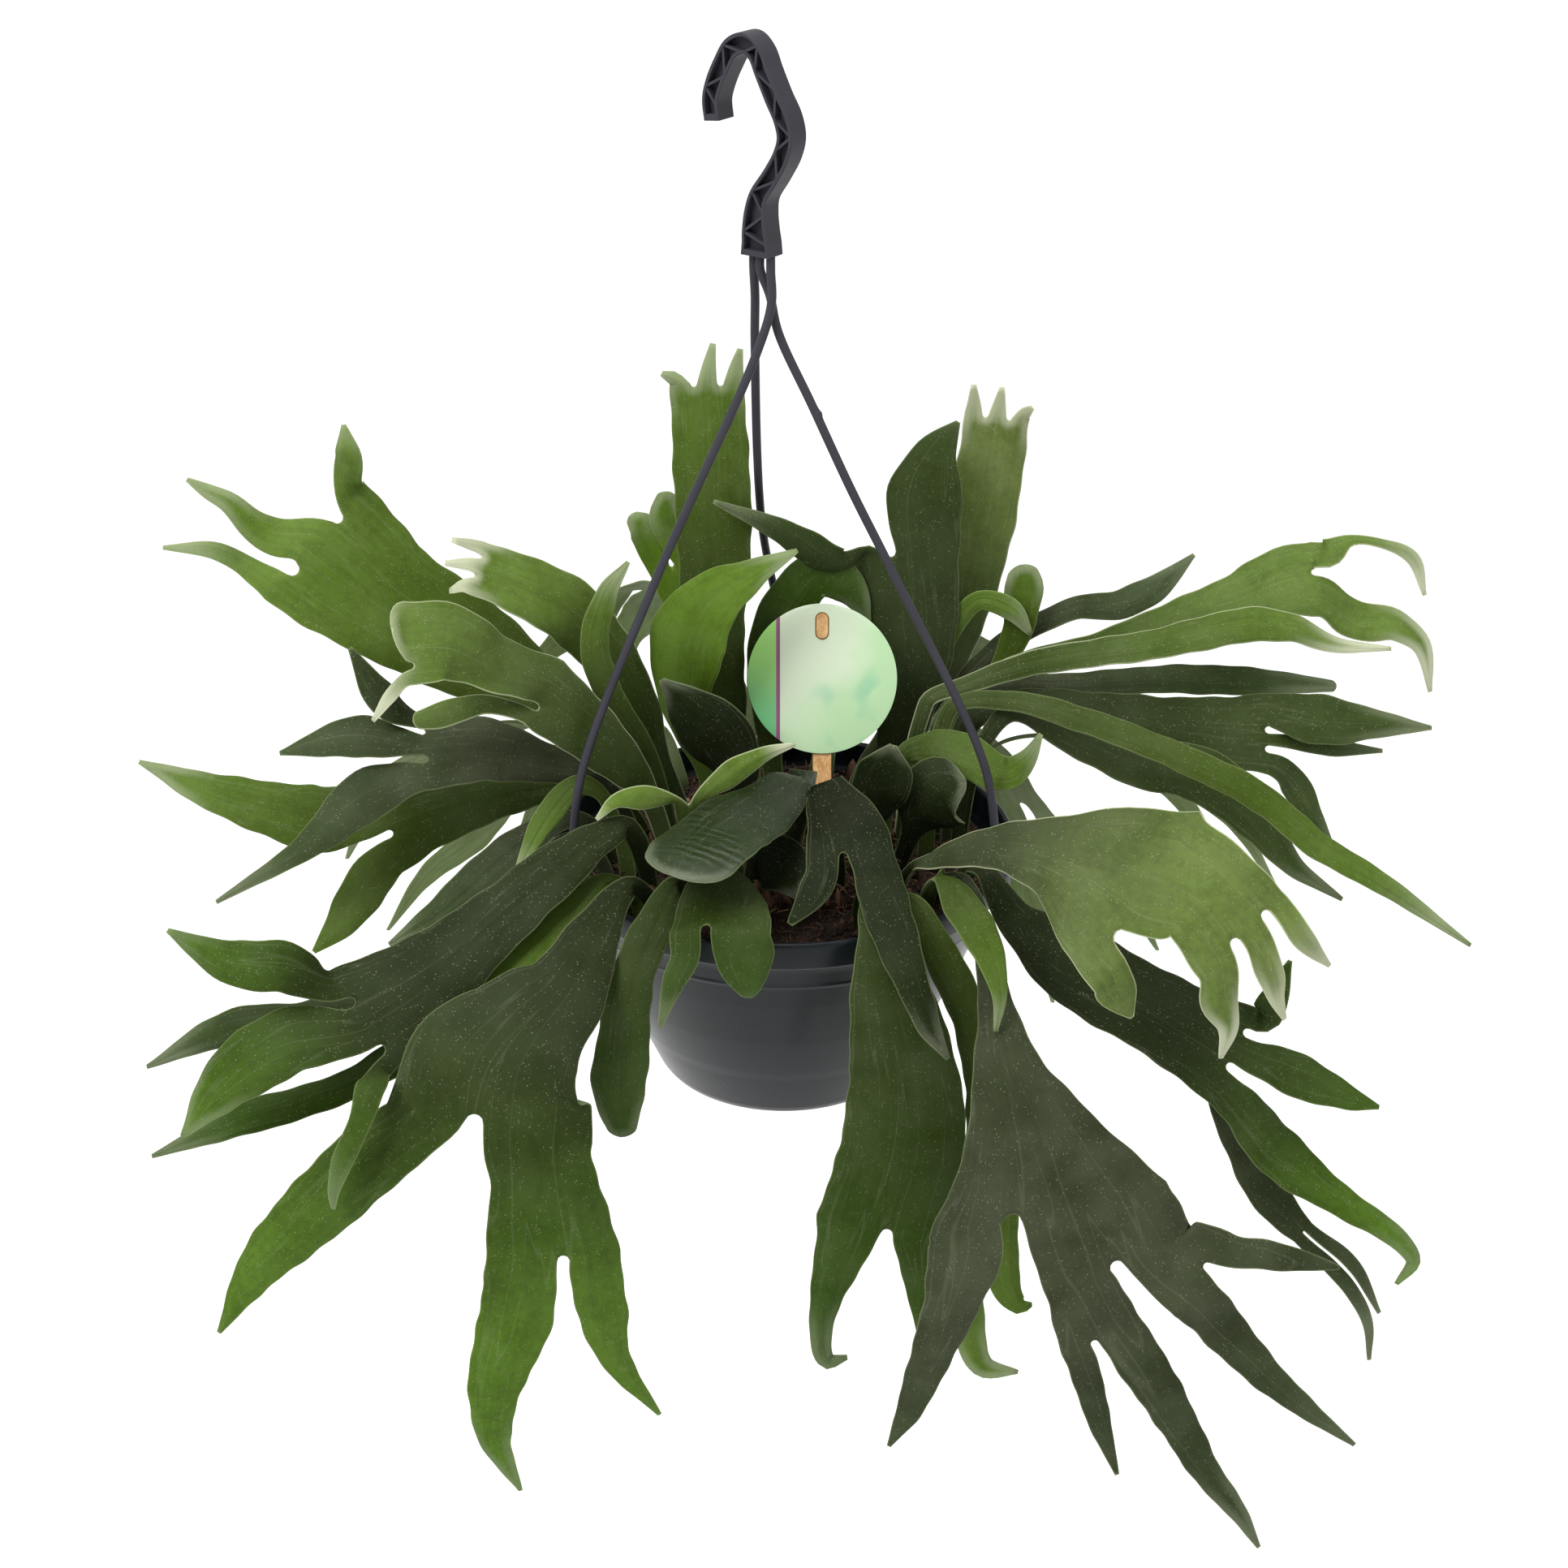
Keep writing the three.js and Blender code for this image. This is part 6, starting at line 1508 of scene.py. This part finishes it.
@dataclass
class Strap:
    """One round hanger strap from under the hook to a clip over the rim."""

    name: str
    angle: float
    start: tuple[float, float]
    bow: tuple[tuple[float, float, float], ...]
    nub: float
    nub_size: float = 0.55
    nub_reach: float = 1.3
    seam: float = 0.08
    radius: float = 1.6
    under: float = Hook.foot[2] - CLEARANCE
    end: tuple[tuple[float, float], ...] = ((9, 45), (3.4, 16))
    clip_width: float = 9.0
    clip_wall: float = 1.6
    clip_drop: float = 8.0
    clip_inside_gap: float = 0.6
    clip_softness: float = 0.4
    sides: int = 20
    steps: int = 200
    sharp: float = 50.0

    def out(self) -> np.ndarray:
        """The level direction from the pot's axis to the clip."""
        turn = math.radians(self.angle)
        return np.array([math.cos(turn), math.sin(turn), 0])

    def line(self) -> np.ndarray:
        """The strap's middle line: down from the hook's foot, out through its bow and down to the rim."""
        clip_top = RIM_HEIGHT + CLEARANCE + self.clip_wall
        last = [self.out() * (RIM_RADIUS - inset) + (0, 0, RIM_HEIGHT + rise) for inset, rise in self.end]
        points = [(*self.start, self.under), (*self.start, self.under - 5),
                  *((x, y, self.under + drop) for x, y, drop in self.bow), *last,
                  self.out() * (RIM_RADIUS - 2.4) + (0, 0, clip_top - 0.8)]
        return smooth_line(np.array(points, float), np.linspace(0, 1, self.steps))

    def rod(self, form: Form) -> None:
        """Carries a circle along the line, with a nub on one side where two lengths of the moulding meet."""
        line = self.line()
        ahead = unit(np.gradient(line, axis=0))
        side = unit(np.cross(ahead, np.array([0, 1.0, 0])))
        up = np.cross(side, ahead)
        turn = 2 * math.pi * np.arange(self.sides) / self.sides
        far = np.concatenate([[0], np.cumsum(np.linalg.norm(np.diff(line, axis=0), axis=1))])
        bump = np.exp(-(((far - self.nub) / self.nub_reach) ** 4))[:, None]
        swell = self.nub_size * bump * np.clip(np.cos(turn)[None], 0, 1) ** 2
        flat = 1 - self.seam * np.sin(turn)[None] ** 8
        radius = self.radius * flat + swell
        rings = (line[:, None] + radius[..., None] * (np.cos(turn)[None, :, None] * side[:, None]
                                                      + np.sin(turn)[None, :, None] * up[:, None]))
        form.sweep(rings[::-1])

    def clip(self, form: Form) -> None:
        """Carries the clip's section, a hook over the rim with soft corners, across the clip's width."""
        wall, seat = self.clip_wall, RIM_HEIGHT + CLEARANCE
        top = seat + wall
        inner = RIM_RADIUS - Pot.collar_inside - self.clip_inside_gap - wall
        outer = RIM_RADIUS + CLEARANCE + wall
        short, long = top - 0.7 * self.clip_drop, top - self.clip_drop
        section = rounded(np.array([
            (inner, short), (inner + wall, short), (inner + wall, seat), (outer - wall, seat),
            (outer - wall, long), (outer, long), (outer, top - 1), (outer - 1, top), (inner + 1, top),
            (inner, top - 1)]), self.clip_softness)
        out = self.out()
        across = np.array([-out[1], out[0], 0]) * self.clip_width
        middle = section.mean(axis=0)
        rings = []
        for place, drawn in ((-0.5, 0.03), (-0.47, 0), (0.47, 0), (0.5, 0.03)):
            pulled = section + (middle - section) * drawn
            rings.append(pulled[:, :1] * out + pulled[:, 1:] * np.array([0, 0, 1.0]) + across * place)
        form.prism(np.stack(rings))

    def build(self, material: bpy.types.Material) -> bpy.types.Object:
        """The rod and its clip as one piece."""
        form = Form()
        self.rod(form)
        self.clip(form)
        return form.piece(f"{self.name}_rod_and_clip", material, "hanger_plastic", (self.name,),
                          sharp=self.sharp)


@dataclass
class Label:
    """The round card, bare but for bands of colour, held by the tongue of a flat wooden stick."""

    foot: tuple[float, float, float] = (14.5, -12, SOIL_LEVEL)
    lean: float = -24.0
    radius: float = 28.5
    card: float = 0.8
    up: float = 73.0
    stick_half: float = 3.5
    stick_thickness: float = 1.8
    stick_length: float = 100.0
    buried: float = 22.0
    tongue_up: float = 93.0
    tongue_radius: float = 2.3
    tongue_rise: float = 2.6
    tongue_proud: float = 0.6
    tongue_gap: float = 0.02
    tongue_sides: int = 48
    tongue_softness: float = 0.35
    stick_softness: float = 0.3
    stick_places: tuple[float, ...] = (0.2, 0.5, 0.8)
    stick_arc: int = 15
    sides: int = 144
    rays: tuple[float, ...] = (0, 0.25, 0.5, 0.75, 0.97)
    rim: tuple[float, float] = (0.15, 0.85)

    def stand(self, across: np.ndarray, up: np.ndarray, deep: np.ndarray) -> np.ndarray:
        """Puts points of the card's plane in place: up leans back, and deep comes towards the viewer."""
        lean = math.radians(self.lean)
        y, z = -deep, up
        return np.stack([across + self.foot[0], y * math.cos(lean) - z * math.sin(lean) + self.foot[1],
                         y * math.sin(lean) + z * math.cos(lean) + self.foot[2]], axis=-1)

    def slot_outline(self, gap: float, count: int) -> tuple[np.ndarray, np.ndarray]:
        """The tongue's outline grown by a gap, two half circles joined by straight sides, by angle.

        Args:
            gap: how much larger than the tongue, in millimetres.
            count: how many points.

        Returns:
            The points across and up, from the tongue's middle.
        """
        angle = np.linspace(0, 2 * math.pi, count, endpoint=False)
        reach = self.tongue_radius + gap
        side = reach / np.maximum(np.abs(np.cos(angle)), 1e-6)
        tall = side * np.abs(np.sin(angle))
        rise = self.tongue_rise
        along = rise * np.abs(np.sin(angle))
        cap = along + np.sqrt(np.maximum(reach ** 2 - (rise * np.cos(angle)) ** 2, 0))
        radius = np.where(tall < rise, side, cap)
        return radius * np.cos(angle), radius * np.sin(angle)

    def disc(self) -> bpy.types.Object:
        """The card: along rays from the slot's edge to the round edge, in front, at the rim and behind."""
        slot_x, slot_y = self.slot_outline(CLEARANCE, self.sides)
        angle = np.arctan2(slot_y, slot_x)
        offset = self.tongue_up - self.up
        along = -offset * np.sin(angle)
        reach = along + np.sqrt(along ** 2 - offset ** 2 + self.radius ** 2)
        edge_x, edge_y = reach * np.cos(angle), reach * np.sin(angle)
        base = self.stick_thickness + CLEARANCE
        section = [*((1, depth) for depth in self.rim), *((share, 1) for share in reversed(self.rays)),
                   *((share, 0) for share in self.rays)]
        rings, flow = [], []
        for share, depth in section:
            x = slot_x + (edge_x - slot_x) * share
            y = slot_y + (edge_y - slot_y) * share + self.tongue_up
            rings.append(self.stand(x, y, np.full_like(x, base + depth * self.card)))
            flow.append(np.stack([x, y - self.up], axis=-1) * MM)
        form = Form()
        table = ring_table(form.add(np.stack(rings), np.stack(flow)), len(section), self.sides)
        form.faces.append(cells(np.concatenate([table, table[:1]]))[:, ::-1])
        return form.piece("label_card_round", Card().material("label_print"), "label_card", ("label_disc",),
                          sharp=40)

    def stick(self) -> bpy.types.Object:
        """The stick, straight below and round on top, with the tongue on it."""
        top = self.stick_length - self.stick_half
        arc = np.linspace(0, math.pi, self.stick_arc)
        heights = (-self.buried, *(top * share for share in self.stick_places))
        right = [(self.stick_half, height) for height in heights]
        end = np.stack([self.stick_half * np.cos(arc), top + self.stick_half * np.sin(arc)], axis=-1)
        form = Form()
        outline = np.concatenate([right, end, [(-x, y) for x, y in reversed(right)]])
        self.slab(form, outline, 0, self.stick_thickness, self.stick_softness)
        x, y = self.slot_outline(-self.tongue_gap, self.tongue_sides)
        depth = self.stick_thickness + CLEARANCE + self.card + self.tongue_proud
        outline = np.stack([x, y + self.tongue_up], axis=-1)
        self.slab(form, outline, self.stick_thickness / 2, depth, self.tongue_softness)
        return form.piece("label_stick_wood", Wood().material("stick_wood"), "label_wood", ("label_stick",),
                          sharp=50)

    def slab(self, form: Form, outline: np.ndarray, low: float, high: float, soft: float) -> None:
        """Adds an outline from a low to a high depth, drawn in by soft at both faces."""
        middle = outline.mean(axis=0)
        reach = np.linalg.norm(outline - middle, axis=1, keepdims=True)
        drawn = middle + (outline - middle) * (1 - soft * 0.6 / np.maximum(reach, 2))
        form.prism(np.stack([
            self.stand(shape[:, 0], shape[:, 1], np.full(len(shape), deep))
            for shape, deep in ((drawn, low), (outline, low + soft), (outline, high - soft), (drawn, high))]))


# The pot greys from 2 mm to 46 mm up: partly dust, partly a painted reflection of the floor.
PLASTIC = Plastic(srgb(8, 15, 18), srgb(45, 46, 49), 0.22, 2, 46)
HANGER = Plastic(srgb(44, 44, 50), srgb(84, 82, 92), 0.38)
STRAPS = (
    Strap("strap_left", -156, (-4.6, -3), ((-4.4, -4.4, -16), (-10, -7.2, -34), (-46, -19, -113)), 62),
    Strap("strap_right", -24, (-8.3, 0.4),
          ((-5, 0.2, -14), (-2, -1.5, -27), (10, -7, -52), (24, -14, -81), (39, -20, -110)), 60),
    Strap("strap_back", 90, (-10.6, 3.6), ((-10.2, 6.5, -16), (-10.4, 12, -34), (-8.6, 43, -113)), 300),
)


@dataclass
class Studio:
    """The plain pale floor, the soft lights and the camera at the photograph's angle, in metres."""

    focal_pixels: float = 3200.0
    frame_pixels: float = 1932.0
    sensor: float = 36.0
    place: tuple[float, float, float] = (0.0, -0.891, 0.551)
    pitch: float = 64.06
    floor_level: float = -0.62
    floor_half: float = 24.0
    target: tuple[float, float, float] = (0, 0, 0.1)
    boxes: tuple[tuple[str, tuple[float, float, float], float, float], ...] = (
        ("key_soft", (-1.0, -1.0, 1.5), 0.7, 20), ("fill_soft", (1.4, -1.0, 1.1), 1.2, 5),
        ("top_soft", (0.1, 0.3, 1.8), 1.0, 8))
    sky: tuple[float, float, float] = (0.3, 0.26, -0.92)
    sky_power: float = 1.15
    sky_angle: float = 0.6
    ground_power: float = 0.6
    exposure: float = 0.25

    def camera(self) -> None:
        """The camera: level, looking along +Y and down, with the photograph's field of view."""
        data = bpy.data.cameras.new("photo_camera")
        data.sensor_width = self.sensor
        data.lens = self.focal_pixels / self.frame_pixels * self.sensor
        data.clip_start, data.clip_end = 0.02, 20
        camera = bpy.data.objects.new("photo_camera", data)
        camera.location = self.place
        camera.rotation_euler = (math.radians(self.pitch), 0, 0)
        bpy.context.scene.collection.objects.link(camera)
        bpy.context.scene.camera = camera

    def floor(self) -> None:
        """A wide level sheet well below the lowest tip."""
        paint = Paint("pale_floor", Roughness=0.9)
        tone = paint.noise(paint.place(), 1.5, 2).step(0.2, 0.9)
        material = paint.finish(Base_Color=paint.blend(tone, srgb(246, 246, 246), srgb(252, 252, 252)))
        mesh = bpy.data.meshes.new("floor")
        corners = [(x * self.floor_half, y * self.floor_half, self.floor_level)
                   for x, y in ((-1, -1), (1, -1), (1, 1), (-1, 1))]
        mesh.from_pydata(corners, [], [(0, 1, 2, 3)])
        mesh.materials.append(material)
        made = bpy.data.objects.new("floor", mesh)
        bpy.context.scene.collection.objects.link(made)

    def lamp(self, name: str, kind: str, direction: Vector, place: tuple[float, float, float] = (0, 0, 0),
             **settings: float | str) -> None:
        """A light of a kind that shines in a direction from a place, with its settings."""
        data = bpy.data.lights.new(name, kind)
        for key, value in settings.items():
            setattr(data, key, value)
        made = bpy.data.objects.new(name, data)
        made.location = place
        made.rotation_mode = "QUATERNION"
        made.rotation_quaternion = direction.to_track_quat("-Z", "Y")
        bpy.context.scene.collection.objects.link(made)

    def build(self) -> None:
        """Sets the stage: square soft lights that face the plant, and one soft light as wide as the sky."""
        self.camera()
        self.floor()
        for name, place, size, power in self.boxes:
            direction = Vector(self.target) - Vector(place)
            self.lamp(name, "AREA", direction, place, shape="SQUARE", size=size, energy=power)
        self.lamp("sky_soft", "SUN", Vector(self.sky), energy=self.sky_power, angle=self.sky_angle)
        world = bpy.data.worlds.new("studio")
        world.use_nodes = True
        ground = world.node_tree.nodes["Background"]
        ground.inputs["Color"].default_value = (1, 1, 1, 1)
        ground.inputs["Strength"].default_value = self.ground_power
        bpy.context.scene.world = world
        bpy.context.scene.view_settings.view_transform = "Standard"
        bpy.context.scene.view_settings.exposure = self.exposure


def main() -> None:
    """Builds every piece in order."""
    logging.basicConfig(level=logging.INFO, format="%(message)s")
    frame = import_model()
    Studio().build()
    hanger = HANGER.material("hanger_plastic_dark")
    Pot().shell()
    Hook().build(hanger)
    for strap in STRAPS:
        strap.build(hanger)
    label = Label()
    label.disc()
    label.stick()
    finishes = {tone: tone.value.material(f"frond_{tone.name.lower()}") for tone in Tone}
    blade = Blade()
    for number, (name, frond) in enumerate(FRONDS.items()):
        blade.build(name, frond, number, finishes[frond.tone])
    Crown().build(frame["nodes"])


if __name__ == "__main__":
    main()
